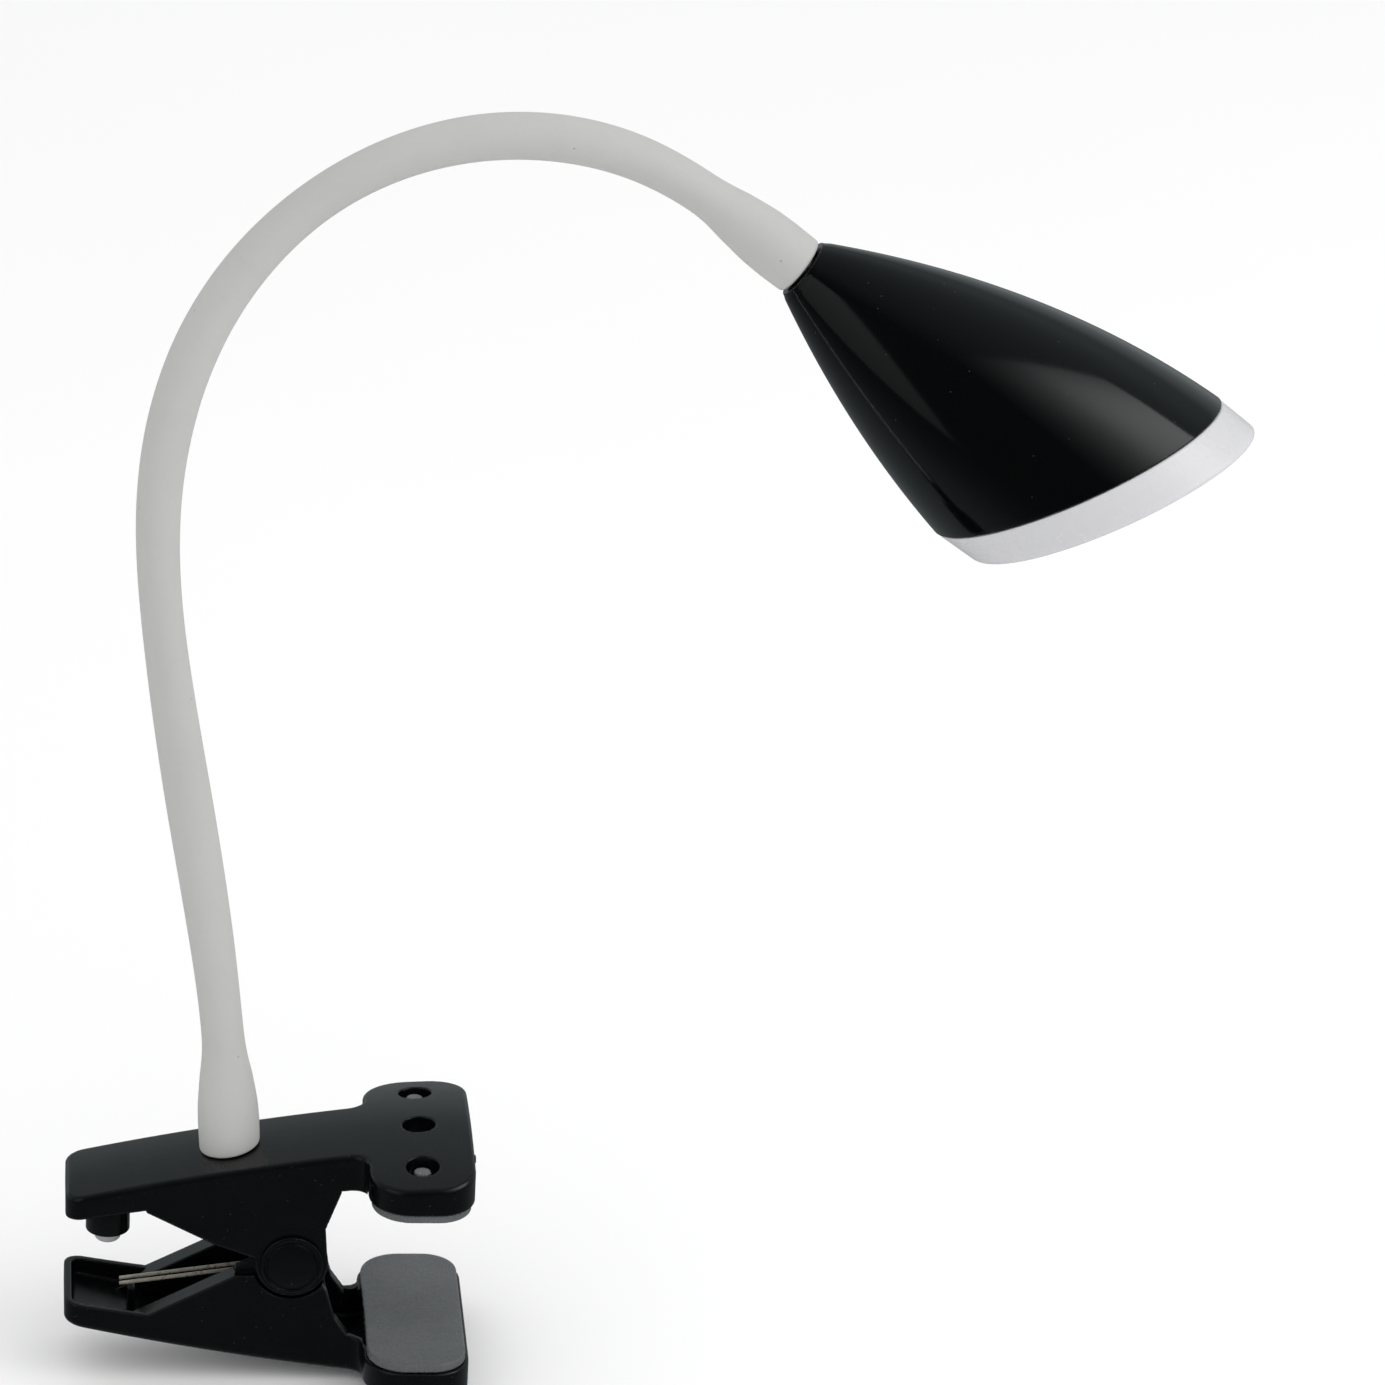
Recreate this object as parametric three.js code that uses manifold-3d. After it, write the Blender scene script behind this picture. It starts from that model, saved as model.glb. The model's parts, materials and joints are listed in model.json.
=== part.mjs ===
// Clip-on reading lamp: a spring clip, a gooseneck and a cone shade with an opal diffuser.
// Millimetres. +X runs along the clip towards its jaws, +Z is up, +Y is the far side.
// The origin is the middle of the upper jaw pad's flat underside.
import * as THREE from 'three';
import { mergeVertices } from 'three/addons/utils/BufferGeometryUtils.js';
import Module from 'manifold-3d';

const wasm = await Module();
wasm.setup();

// ---- driving dimensions ----
const FIT = 0.3;                 // gap between separate pieces
const BOARD = 42.2;              // distance between the two jaw pads as gripped
const WALL = 2;                  // clip arm wall

const HANDLE_END = -93.4;        // x of the handle ends
const ARM_HALF = 14.5;           // half width of a clip arm
const JAW_HALF_X = 14;           // half width of the T-shaped jaw along x
const JAW_HALF_Y = 32.5;         // half length of the T-shaped jaw along y
const JAW_BACK_R = 11.5;         // jaw corners on the handle's side
const JAW_FRONT_R = 10;          // and at the front
const CROWN_RADIUS = 155;        // both arms are crowned across their width
const ARCH_X = -17;              // where the handle arch meets the jaw arch
const ARCH_Z = 11.8;
const ARCH_SLOPE = 0.128;
const ARCH_HANDLE = 0.00068;
const ARCH_JAW = 0.0022;
const JAW_RIM = 2.5;             // height of the jaw's skirt edge over the pad face
const SKIRT_STEP = -14;          // where the arm's skirt becomes the jaw's skirt
const SKIRT_HANDLE = 6.4;        // depth of the arm's skirt at the handle end
const SKIRT_ARCH = 10.4;         // and at the arch
const PEG_SPACING = 21.5;        // jaw holes and pad pegs from the middle
const JAW_HOLE_R = 4.4;
const PEG_R = 2.3;
const PEG_TOP = 10.4;            // height of the pad pegs over the pad face

const PIVOT_X = -33.4;
const PIVOT_Z = -BOARD / 2;
const CHEEK_R = 9.7;             // round end of the upper cheeks
const PIN_R = 2;
const CAP_R = 8.3;
const CAP_THICK = 1.2;
const INNER_CHEEK = 10.2;        // |y| of the lower cheeks' inside face at the pivot
const INNER_WEB = 8.1;           // and towards the handle, where they are thicker

const WIRE_R = 0.52;             // torsion spring
const COIL_R = 6.2;
const COIL_TURNS = 3.5;
const LEG_Y = 1.45;
const BAIL_Y = 8;

const SWITCH_X = -82;
const SWITCH_R = 5.85;
const SWITCH_BOTTOM = -17.9;
const SWITCH_BORE = 4.65;
const BUTTON_R = 3.5;
const BUTTON_OUT = 3.7;          // how far the button stands out of the barrel
const CONTACTS_Z = SWITCH_BOTTOM + 6.4;

const SLEEVE_R = 6;              // gooseneck
const BORE_R = 4.3;
const CORE_R = 4;
const CORE_BORE_R = 1.6;
const CUFF_R = 8.1;
const LEAD_R = 1;
const SOCKET_R = 5.8;            // bore of the cuffs around the ferrules
const SOCKET_DEPTH = 14;
const CUFF_LENGTH = 23;
const CRIMP = 4.6;               // where the core starts inside a ferrule
const FERRULE_BORE_R = 1.8;
const NUT_TOP = -4.9;            // washer seat under the arch, below the foot
const SLEEVE_SIDES = 12;
const CORE_SIDES = 8;
const HINGES = 8;
const STRAIGHT = 6.5;            // straight run on each side of a hinge
const LEAN = THREE.MathUtils.degToRad(10);   // the neck leans back by this much
const LEAN_FROM = 8;
const LEAN_RUN = 60;
// the neck's course in x and z: foot, eight hinge points, head end
const COURSE = [
  [-50.05, 5.8], [-54.1, 51.8], [-61.2, 94.8], [-68.6, 138.3], [-71.4, 182.1],
  [-61, 223.8], [-33.1, 258], [7.5, 275.2], [50.9, 270.7], [93.4, 243.6],
];

const SHADE_DROP = THREE.MathUtils.degToRad(36);   // shade axis below the horizontal
const SHADE_R0 = 8.3;            // shade radius at the neck
const SHADE_FLARE = 0.514;
const SHADE_BEND = 0.00215;
const SHADE_WALL = 1.9;
const MOUTH_T = 90.5;            // middle of the slanted mouth, along the shade's axis
const MOUTH_N = 2.3;             // and off it
const MOUTH_TILT = THREE.MathUtils.degToRad(27.6);
const MOUTH_A = 41.1;            // half axes of the mouth's ellipse
const MOUTH_B = 37.1;
const DIFFUSER_H = 11.2;
const CARRIER_Z = -8;            // depth of the carrier plate in the mouth
const CARRIER_BACK = -8.7;
const CARRIER_FRONT = -7.2;
const BOARD_FRONT = -5.8;        // front of the LED board
const LEAD_HOLE_R = 2.5;
const LED_COUNT = 6;
const LED_RING = 16;
const LED_SIZE = 3.5;
const LED_HEIGHT = 0.8;
const SCREW_SPREAD = 31.5;
const SCREW_ANGLES = [0, 100, 260];

// ---- small tools ----
const lamp = new THREE.Group();

const MATERIALS = {
  satin_black: [0x17191b, 0.45, 0],
  gloss_black: [0x0b0c0d, 0.12, 0],
  silicone: [0xe4e3df, 0.75, 0],
  pad: [0xb9bcbc, 0.5, 0],
  grey_button: [0x9a9ea0, 0.5, 0],
  steel: [0xa9a8a2, 0.3, 1],
  zinc: [0xb8bbbd, 0.35, 1],
  core_steel: [0x8b8d8f, 0.45, 1],
  opal: [0xd9dadb, 0.4, 0],
  aluminium: [0xc5c8ca, 0.4, 1],
  board_white: [0xf1f1ee, 0.5, 0],
  led_yellow: [0xe9d46a, 0.35, 0],
  lead_white: [0xe8e8e6, 0.6, 0],
};

function toSolid(geometry) {
  const bare = geometry.index ? geometry.toNonIndexed() : geometry.clone();
  bare.deleteAttribute('normal');
  bare.deleteAttribute('uv');
  const merged = mergeVertices(bare, 1e-4);
  return new wasm.Manifold(new wasm.Mesh({
    numProp: 3,
    vertProperties: new Float32Array(merged.attributes.position.array),
    triVerts: new Uint32Array(merged.index.array),
  }));
}

function toGeometry(solid) {
  const mesh = solid.getMesh();
  const geometry = new THREE.BufferGeometry();
  const positions = new Float32Array(mesh.numVert * 3);
  for (let i = 0; i < mesh.numVert; i++) {
    for (let k = 0; k < 3; k++) {
      positions[3 * i + k] = mesh.vertProperties[mesh.numProp * i + k];
    }
  }
  geometry.setAttribute('position', new THREE.BufferAttribute(positions, 3));
  geometry.setIndex(new THREE.BufferAttribute(new Uint32Array(mesh.triVerts), 1));
  return geometry;
}

function add(name, look, solid) {
  const [color, roughness, metalness] = MATERIALS[look];
  const geometry = toGeometry(solid);
  geometry.computeVertexNormals();
  const material = new THREE.MeshStandardMaterial({ color, roughness, metalness, name });
  const mesh = new THREE.Mesh(geometry, material);
  mesh.name = name;
  lamp.add(mesh);
}

const QUARTER = Math.PI / 2;

const vec = (x, y, z) => new THREE.Vector3(x, y, z);

function moved(geometry, x, y, z) {
  return geometry.translate(x, y, z);
}

// solid of revolution about local Y from [radius, height] points; across the clip as it is
function turned(profile, sides) {
  const points = profile.map(([r, h]) => new THREE.Vector2(r, h));
  return new THREE.LatheGeometry(points, sides);
}

// the same, stood up along Z
function upright(profile, sides) {
  return turned(profile, sides).rotateX(Math.PI / 2);
}

function disc(radius, from, to, sides) {
  return upright([[0, from], [radius, from], [radius, to], [0, to]], sides);
}

function block(x0, x1, y0, y1, z0, z1) {
  const box = new THREE.BoxGeometry(x1 - x0, y1 - y0, z1 - z0);
  return toSolid(moved(box, (x0 + x1) / 2, (y0 + y1) / 2, (z0 + z1) / 2));
}

function standing(shape, z0, z1, curveSegments) {
  const options = { depth: z1 - z0, bevelEnabled: false, curveSegments };
  return toSolid(moved(new THREE.ExtrudeGeometry(shape, options), 0, 0, z0));
}

// plate drawn in x and z, between two y values
function sidePlate(shape, y0, y1, curveSegments) {
  const options = { depth: y1 - y0, bevelEnabled: false, curveSegments };
  const plate = new THREE.ExtrudeGeometry(shape, options).rotateX(Math.PI / 2);
  return toSolid(moved(plate, 0, y1, 0));
}

// wire of round section along a curve
function wire(curve, radius, steps, sides) {
  const section = new THREE.Shape();
  for (let i = 0; i < sides; i++) {
    const turn = 2 * Math.PI * i / sides;
    const x = radius * Math.cos(turn);
    const y = radius * Math.sin(turn);
    if (i === 0) section.moveTo(x, y);
    else section.lineTo(x, y);
  }
  section.closePath();
  const options = { steps, extrudePath: curve, bevelEnabled: false };
  return toSolid(new THREE.ExtrudeGeometry(section, options));
}

// ---- clip arms ----
function plateTop(x, y) {
  const along = x - ARCH_X;
  const bend = along < 0 ? ARCH_HANDLE : ARCH_JAW;
  return ARCH_Z + ARCH_SLOPE * along - bend * along * along - y * y / (2 * CROWN_RADIUS);
}

// lower edge of the skirt: it grows deeper from the handle to the arch
function rimHeight(x) {
  if (x > SKIRT_STEP) return JAW_RIM;
  const share = (x - HANDLE_END) / (ARCH_X - HANDLE_END);
  const depth = SKIRT_HANDLE + (SKIRT_ARCH - SKIRT_HANDLE) * Math.min(share, 1);
  return plateTop(x, ARM_HALF) - depth;
}

// outline of an arm seen from above, drawn in by inset
function armOutline(inset) {
  const left = HANDLE_END + inset;
  const armY = ARM_HALF - inset;
  const jawLeft = -JAW_HALF_X + inset;
  const jawRight = JAW_HALF_X - inset;
  const jawY = JAW_HALF_Y - inset;
  const endR = 5 - inset * 0.5;
  const fillet = 4.5 + inset;
  const cornerL = JAW_BACK_R - inset;
  const cornerR = JAW_FRONT_R - inset;
  const s = new THREE.Shape();
  s.moveTo(left, -armY + endR);
  s.absarc(left + endR, -armY + endR, endR, Math.PI, 1.5 * Math.PI, false);
  s.absarc(jawLeft - fillet, -armY - fillet, fillet, QUARTER, 0, true);
  s.absarc(jawLeft + cornerL, -jawY + cornerL, cornerL, Math.PI, 1.5 * Math.PI, false);
  s.absarc(jawRight - cornerR, -jawY + cornerR, cornerR, 1.5 * Math.PI, 2 * Math.PI, false);
  s.absarc(jawRight - cornerR, jawY - cornerR, cornerR, 0, QUARTER, false);
  s.absarc(jawLeft + cornerL, jawY - cornerL, cornerL, QUARTER, Math.PI, false);
  s.absarc(jawLeft - fillet, armY + fillet, fillet, 0, -QUARTER, true);
  s.absarc(left + endR, armY - endR, endR, QUARTER, Math.PI, false);
  s.closePath();
  return s;
}

// block whose top and bottom follow height functions of x and y;
// two of its stations stand close together where the skirt steps down to the jaw
function slab(top, bottom) {
  const xs = [-96, -82, -68, -54, -40, -27, SKIRT_STEP - 0.1, SKIRT_STEP + 0.1, 0, 17];
  const ys = [-36, -24, -12, 0, 12, 24, 36];
  const box = new THREE.BoxGeometry(1, 1, 1, xs.length - 1, ys.length - 1, 1);
  const p = box.attributes.position;
  for (let i = 0; i < p.count; i++) {
    const x = xs[Math.round((p.getX(i) + 0.5) * (xs.length - 1))];
    const y = ys[Math.round((p.getY(i) + 0.5) * (ys.length - 1))];
    const z = p.getZ(i) > 0 ? top(x, y) : bottom(x, y);
    p.setXYZ(i, x, y, z);
  }
  return toSolid(box);
}

function armShell() {
  const outside = standing(armOutline(0), -30, 30, 4)
    .intersect(slab(plateTop, rimHeight));
  const inside = standing(armOutline(WALL), -40, 30, 3)
    .intersect(slab((x, y) => plateTop(x, y) - WALL, () => -35));
  return outside.subtract(inside);
}

function jawHoles() {
  const hole = (y) => toSolid(moved(disc(JAW_HOLE_R, 0, 30, 16), 0, y, 0));
  return hole(-PEG_SPACING).add(hole(0)).add(hole(PEG_SPACING));
}

// turns an upper piece over to make the lower one
function turnedOver(solid) {
  return solid.rotate([180, 0, 0]).translate([0, 0, 2 * PIVOT_Z]);
}

function aroundPivot(radius, degrees) {
  const turn = THREE.MathUtils.degToRad(degrees);
  return [PIVOT_X + radius * Math.cos(turn), PIVOT_Z + radius * Math.sin(turn)];
}

function outline(points) {
  const shape = new THREE.Shape();
  points.forEach(([x, y], i) => (i ? shape.lineTo(x, y) : shape.moveTo(x, y)));
  return shape;
}

function bothCheeks(shape, inner, outer, segments) {
  return sidePlate(shape, inner, outer, segments).add(sidePlate(shape, -outer, -inner, segments));
}

function pinHole() {
  const r = PIN_R + 0.15;
  const hole = turned([[0, -20], [r, -20], [r, 20], [0, 20]], 20);
  return toSolid(moved(hole, PIVOT_X, 0, PIVOT_Z));
}

// the neck stands on the arch here, tipped back a little
const FOOT = vec(COURSE[0][0], 0, COURSE[0][1]);
const FOOT_TILT = THREE.MathUtils.degToRad(-3);

function atFoot(geometry) {
  const g = geometry.rotateY(FOOT_TILT);
  return moved(g, FOOT.x, 0, FOOT.z);
}

function upperArm() {
  const cheek = outline([[-21, 5], [-70, -2], [-72.3, rimHeight(-72.3) - 0.5],
    [-53.9, -15.6]]);
  const [startX, startZ] = aroundPivot(CHEEK_R, 172);
  cheek.lineTo(startX, startZ);
  cheek.absarc(PIVOT_X, PIVOT_Z, CHEEK_R, THREE.MathUtils.degToRad(172),
    THREE.MathUtils.degToRad(375), false);
  cheek.lineTo(-24.6, -10.9);
  cheek.lineTo(-20.7, -0.2);
  let arm = armShell().add(bothCheeks(cheek, ARM_HALF - WALL, ARM_HALF, 12));

  // socket ring that takes the switch barrel
  const under = plateTop(SWITCH_X, 0) - 1;
  const ring = upright([[SWITCH_R + FIT, -6.5], [SWITCH_R + 1.7, -6.5],
    [SWITCH_R + 1.7, under], [SWITCH_R + FIT, under], [SWITCH_R + FIT, -6.5]], 24);
  arm = arm.add(toSolid(moved(ring, SWITCH_X, 0, 0)));

  // flat seat under the plate for the neck's nut, with its hole
  const seat = standing(armOutline(WALL / 2), -40, 30, 5)
    .intersect(toSolid(atFoot(disc(8.5, -3.6, 0.5, 20))))
    .intersect(slab(plateTop, () => -35));
  arm = arm.add(seat);
  arm = arm.subtract(toSolid(atFoot(disc(CORE_R + FIT, -12, 6, 20))));

  // window in the jaw's skirt and a small nib on its outer edge
  arm = arm.subtract(block(-16, -9, -25.2, -22.2, 4, 7.6));
  arm = arm.add(block(JAW_HALF_X - 0.6, JAW_HALF_X + 0.8, -11, -9, 7, 9));
  return arm.subtract(jawHoles()).subtract(pinHole());
}

function lowerArm() {
  const tip = [[-70, -39.5], [-71.5, 2 * PIVOT_Z - rimHeight(-71.5)]];
  const tail = [[-17.8, -43.2], [-19, -47.5], ...tip];
  const stepX = -48.4;

  const inner = outline([...tail, [stepX, -24.9], [stepX, -22.9]]);
  const [innerX, innerZ] = aroundPivot(9, 175);
  inner.lineTo(innerX, innerZ);
  inner.absarc(PIVOT_X, PIVOT_Z, 9, THREE.MathUtils.degToRad(175),
    THREE.MathUtils.degToRad(-20), true);
  inner.lineTo(-24.1, -29.3);
  inner.lineTo(-21.5, -37.9);

  const recess = CHEEK_R + 0.7;
  const outer = outline([...tail, [stepX, -24.9]]);
  const [outerX, outerZ] = aroundPivot(recess, 200);
  outer.lineTo(outerX, outerZ);
  outer.absarc(PIVOT_X, PIVOT_Z, recess, THREE.MathUtils.degToRad(200),
    THREE.MathUtils.degToRad(322), false);
  outer.lineTo(-24.1, -29.3);
  outer.lineTo(-21.5, -37.9);

  const layer = INNER_CHEEK + WALL;
  let arm = turnedOver(armShell());
  arm = arm.add(bothCheeks(inner, INNER_CHEEK, layer, 12));
  arm = arm.add(bothCheeks(outer, layer - 0.2, ARM_HALF, 12));

  const web = outline([[stepX, -42.9], [-80, -41.8], [-80, -41.2], tip[1], [stepX, -24.9]]);
  arm = arm.add(bothCheeks(web, INNER_WEB, INNER_CHEEK + 0.2, 12));

  // rib that carries the spring's two free ends
  arm = arm.add(block(-76.5, -74.5, -2.4, 2.4, -43, -34.9));
  return arm.subtract(turnedOver(jawHoles())).subtract(pinHole());
}

// outline of the jaw alone, drawn in by inset
function jawOutline(inset) {
  const x = JAW_HALF_X - inset;
  const y = JAW_HALF_Y - inset;
  const cornerL = JAW_BACK_R - inset;
  const cornerR = JAW_FRONT_R - inset;
  const s = new THREE.Shape();
  s.absarc(-x + cornerL, -y + cornerL, cornerL, Math.PI, 1.5 * Math.PI, false);
  s.absarc(x - cornerR, -y + cornerR, cornerR, 1.5 * Math.PI, 2 * Math.PI, false);
  s.absarc(x - cornerR, y - cornerR, cornerR, 0, QUARTER, false);
  s.absarc(-x + cornerL, y - cornerL, cornerL, QUARTER, Math.PI, false);
  s.closePath();
  return s;
}

// soft jaw pad: a plate, a plug inside the skirt and two pegs
function jawPad() {
  let pad = standing(jawOutline(0.9), 0, JAW_RIM - 0.1, 5)
    .add(standing(jawOutline(WALL + FIT), 1, 5.4, 5));
  for (const y of [-PEG_SPACING, PEG_SPACING]) {
    const peg = upright([[0, 5], [PEG_R, 5], [PEG_R, PEG_TOP - 0.7], [PEG_R - 0.7, PEG_TOP],
      [0, PEG_TOP]], 14);
    pad = pad.add(toSolid(moved(peg, 0, y, 0)));
  }
  return pad;
}

function pivotCap(side) {
  const near = ARM_HALF + 0.1;
  const far = near + CAP_THICK;
  const profile = [[0, near + 0.6], [PIN_R + 0.15, near + 0.6], [PIN_R + 0.15, near],
    [CAP_R, near], [CAP_R, far - 0.5], [CAP_R - 0.5, far], [0, far]];
  const cap = turned(profile, 28);
  if (side < 0) cap.rotateX(Math.PI);
  return toSolid(moved(cap, PIVOT_X, 0, PIVOT_Z));
}

function pivotPin() {
  const end = ARM_HALF + 0.5;
  const profile = [[0, -end], [PIN_R, -end], [PIN_R, end], [0, end]];
  return toSolid(moved(turned(profile, 18), PIVOT_X, 0, PIVOT_Z));
}

// one wire: free end, near coil, bail under the upper handle, far coil, free end
function torsionSpring() {
  const half = [];
  half.push(vec(-78.7, -LEG_Y, -33.9));
  half.push(vec(-62, -LEG_Y, -31.5));
  half.push(vec(-46, -LEG_Y, -29.2));
  const perTurn = 8;
  const count = COIL_TURNS * perTurn;
  for (let i = 0; i <= count; i++) {
    const turn = -QUARTER + 2 * Math.PI * i / perTurn;
    const y = -LEG_Y - (BAIL_Y - LEG_Y) * i / count;
    half.push(vec(PIVOT_X + COIL_R * Math.cos(turn), y, PIVOT_Z + COIL_R * Math.sin(turn)));
  }
  half.push(vec(-47, -BAIL_Y, -9.6));
  half.push(vec(-62.5, -BAIL_Y, -2));
  half.push(vec(-66.2, -BAIL_Y + 2.4, -0.2));
  half.push(vec(-66.6, 0, 0));
  const other = half.slice(0, -1).reverse().map((p) => vec(p.x, -p.y, p.z));
  const curve = new THREE.CatmullRomCurve3([...half, ...other], false, 'centripetal');
  return wire(curve, WIRE_R, 130, 5);
}

// ---- switch ----
function switchBarrel() {
  const top = plateTop(SWITCH_X - SWITCH_R, 0) - WALL - FIT;
  const hole = BUTTON_R + 0.2;
  const floor = SWITCH_BOTTOM + 1.5;
  const profile = [[0, top - 1.5], [SWITCH_BORE, top - 1.5], [SWITCH_BORE, floor],
    [hole, floor], [hole, SWITCH_BOTTOM], [SWITCH_R - 0.8, SWITCH_BOTTOM],
    [SWITCH_R, SWITCH_BOTTOM + 0.8], [SWITCH_R, top], [0, top]];
  const barrel = toSolid(moved(upright(profile, 28), SWITCH_X, 0, 0));
  const entry = wire(leadCurve(), LEAD_R + FIT, 76, 5);
  return barrel.subtract(entry);
}

// domed button with a collar inside the barrel and a stem in the spring
function switchButton() {
  const low = SWITCH_BOTTOM - BUTTON_OUT;
  const collar = SWITCH_BOTTOM + 1.7;
  const profile = [[0, low], [1.5, low + 0.2], [2.6, low + 0.7], [BUTTON_R, low + 1.8],
    [BUTTON_R, collar], [4.3, collar], [4.3, collar + 1.2], [1, collar + 1.2],
    [1, collar + 2.9], [0, collar + 2.9]];
  return toSolid(moved(upright(profile, 20), SWITCH_X, 0, 0));
}

function buttonSpring() {
  const from = SWITCH_BOTTOM + 3.3;
  const to = CONTACTS_Z - 0.45;
  const perTurn = 8;
  const count = 2 * perTurn;
  const radius = 2.6;
  const points = [];
  for (let i = 0; i <= count; i++) {
    const turn = 2 * Math.PI * i / perTurn;
    const z = from + (to - from) * i / count;
    points.push(vec(SWITCH_X + radius * Math.cos(turn), radius * Math.sin(turn), z));
  }
  return wire(new THREE.CatmullRomCurve3(points), 0.25, 40, 4);
}

function contactBlock() {
  const block = disc(SWITCH_BORE - FIT, CONTACTS_Z, CONTACTS_Z + 1.9, 18);
  return toSolid(moved(block, SWITCH_X, 0, 0));
}

// ---- gooseneck ----
function leanBack(z) {
  const share = (z - LEAN_FROM) / LEAN_RUN;
  if (share < 0) return 0;
  if (share < 1) return Math.tan(LEAN) * LEAN_RUN * share * share / 2;
  return Math.tan(LEAN) * (z - LEAN_FROM - LEAN_RUN / 2);
}

const stations = COURSE.map(([x, z]) => vec(x, leanBack(z), z));
const across = vec(0, -Math.cos(LEAN), Math.sin(LEAN));
const footAxis = vec(Math.sin(FOOT_TILT), 0, Math.cos(FOOT_TILT));
const leanUp = vec(0, Math.sin(LEAN), Math.cos(LEAN));
const shadeAxis = vec(Math.cos(SHADE_DROP), 0, 0).addScaledVector(leanUp, -Math.sin(SHADE_DROP));

function stationTangent(k) {
  if (k === 0) return footAxis.clone();
  if (k === stations.length - 1) return shadeAxis.clone();
  return stations[k + 1].clone().sub(stations[k - 1]).normalize();
}

// one link's centre line: straight at both ends, bent between
function linkCurve(k) {
  const a = stations[k];
  const b = stations[k + 1];
  const ta = stationTangent(k);
  const tb = stationTangent(k + 1);
  const a1 = a.clone().addScaledVector(ta, STRAIGHT);
  const b1 = b.clone().addScaledVector(tb, -STRAIGHT);
  const reach = a1.distanceTo(b1) / 3;
  const path = new THREE.CurvePath();
  path.add(new THREE.LineCurve3(a, a1));
  path.add(new THREE.CubicBezierCurve3(a1, a1.clone().addScaledVector(ta, reach),
    b1.clone().addScaledVector(tb, -reach), b1));
  path.add(new THREE.LineCurve3(b1, b));
  return path;
}

// bends a turned piece so that its height runs along the link
function bent(profile, sides, k) {
  const curve = linkCurve(k);
  const length = curve.getLength();
  const g = turned(profile, sides);
  const p = g.attributes.position;
  for (let i = 0; i < p.count; i++) {
    const s = p.getY(i);
    const share = Math.min(Math.max(s / length, 0), 1);
    const t = curve.getTangentAt(share).normalize();
    const point = curve.getPointAt(share).addScaledVector(t, s - share * length);
    const side = across.clone().addScaledVector(t, -across.dot(t)).normalize();
    const up = t.clone().cross(side);
    point.addScaledVector(up, p.getX(i)).addScaledVector(side, p.getZ(i));
    p.setXYZ(i, point.x, point.y, point.z);
  }
  return toSolid(g);
}

// ball end: a sphere about the hinge, from radius r down to radius q, height h
function ballEnd(r, q, h, steps) {
  const points = [];
  const from = Math.acos(r / SLEEVE_R);
  const to = Math.acos(q / SLEEVE_R);
  for (let i = 0; i <= steps; i++) {
    const a = from + (to - from) * i / steps;
    points.push([SLEEVE_R * Math.cos(a), h + SLEEVE_R * Math.sin(a)]);
  }
  return points;
}

// dished end that fits over the ball below it, from radius q out to radius r
function dishEnd(r, q, steps) {
  const dish = SLEEVE_R + FIT;
  const points = [];
  const from = Math.acos(q / dish);
  const to = Math.acos(r / dish);
  for (let i = 0; i <= steps; i++) {
    const a = from + (to - from) * i / steps;
    points.push([dish * Math.cos(a), dish * Math.sin(a)]);
  }
  return points;
}

function run(r, from, to, steps) {
  const points = [];
  for (let i = 1; i < steps; i++) points.push([r, from + (to - from) * i / steps]);
  return points;
}

function closed(profile) {
  return [...profile, profile[0]];
}

function cuffProfile() {
  return [[CUFF_R - 0.7, 0.4], [CUFF_R, 1.4], [CUFF_R, 11], [7.7, 15.5], [6.5, 19.5],
    [SLEEVE_R, CUFF_LENGTH]];
}

function sleeveLink(k) {
  const length = linkCurve(k).getLength();
  const socket = [[BORE_R, SOCKET_DEPTH], [SOCKET_R, SOCKET_DEPTH - 1.5]];
  if (k === 0) {
    return bent(closed([[SOCKET_R, -3], [CUFF_R, -3], ...cuffProfile().slice(1),
      ...run(SLEEVE_R, CUFF_LENGTH, length, 3), ...ballEnd(SLEEVE_R, BORE_R, length, 2),
      ...run(BORE_R, length, SOCKET_DEPTH, 3), ...socket]), 16, k);
  }
  if (k === HINGES) {
    const flip = ([r, h]) => [r, length - h];
    return bent(closed([...dishEnd(SLEEVE_R, BORE_R, 2),
      ...run(SLEEVE_R, 2, length - CUFF_LENGTH, 3), ...cuffProfile().reverse().map(flip),
      [SOCKET_R, length - 0.4], ...socket.reverse().map(flip),
      ...run(BORE_R, length - SOCKET_DEPTH, 5, 3)]), 16, k);
  }
  return bent(closed([...dishEnd(SLEEVE_R, BORE_R, 2), ...run(SLEEVE_R, 2, length, 4),
    ...ballEnd(SLEEVE_R, BORE_R, length, 2), ...run(BORE_R, length, 5, 4)]), SLEEVE_SIDES, k);
}

function coreLink(k) {
  const length = linkCurve(k).getLength();
  const bottom = k === 0 ? [[CORE_BORE_R, CRIMP], [CORE_R, CRIMP]]
    : dishEnd(CORE_R, CORE_BORE_R, 1);
  const top = k === HINGES ? [[CORE_R, length - CRIMP], [CORE_BORE_R, length - CRIMP]]
    : ballEnd(CORE_R, CORE_BORE_R, length, 1);
  return bent(closed([...bottom, ...run(CORE_R, 5, length, 4), ...top,
    ...run(CORE_BORE_R, length, 5, 4)]), CORE_SIDES, k);
}

// ferrule: threaded stud, flange and a crimp tube round the core, along local Z
function ferruleProfile(stud) {
  const bore = FERRULE_BORE_R;
  const crimp = CORE_R + 0.12;
  return [[bore, -stud], [CORE_R - 0.4, -stud], [CORE_R, -stud + 0.4], [CORE_R, 2.1],
    [SOCKET_R - 0.15, 2.1], [SOCKET_R - 0.15, 3.4], [crimp + 0.8, 3.4], [crimp + 0.8, 11],
    [crimp, 11], [crimp, 4.2], [bore, 4.2], [bore, -stud]];
}

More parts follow.
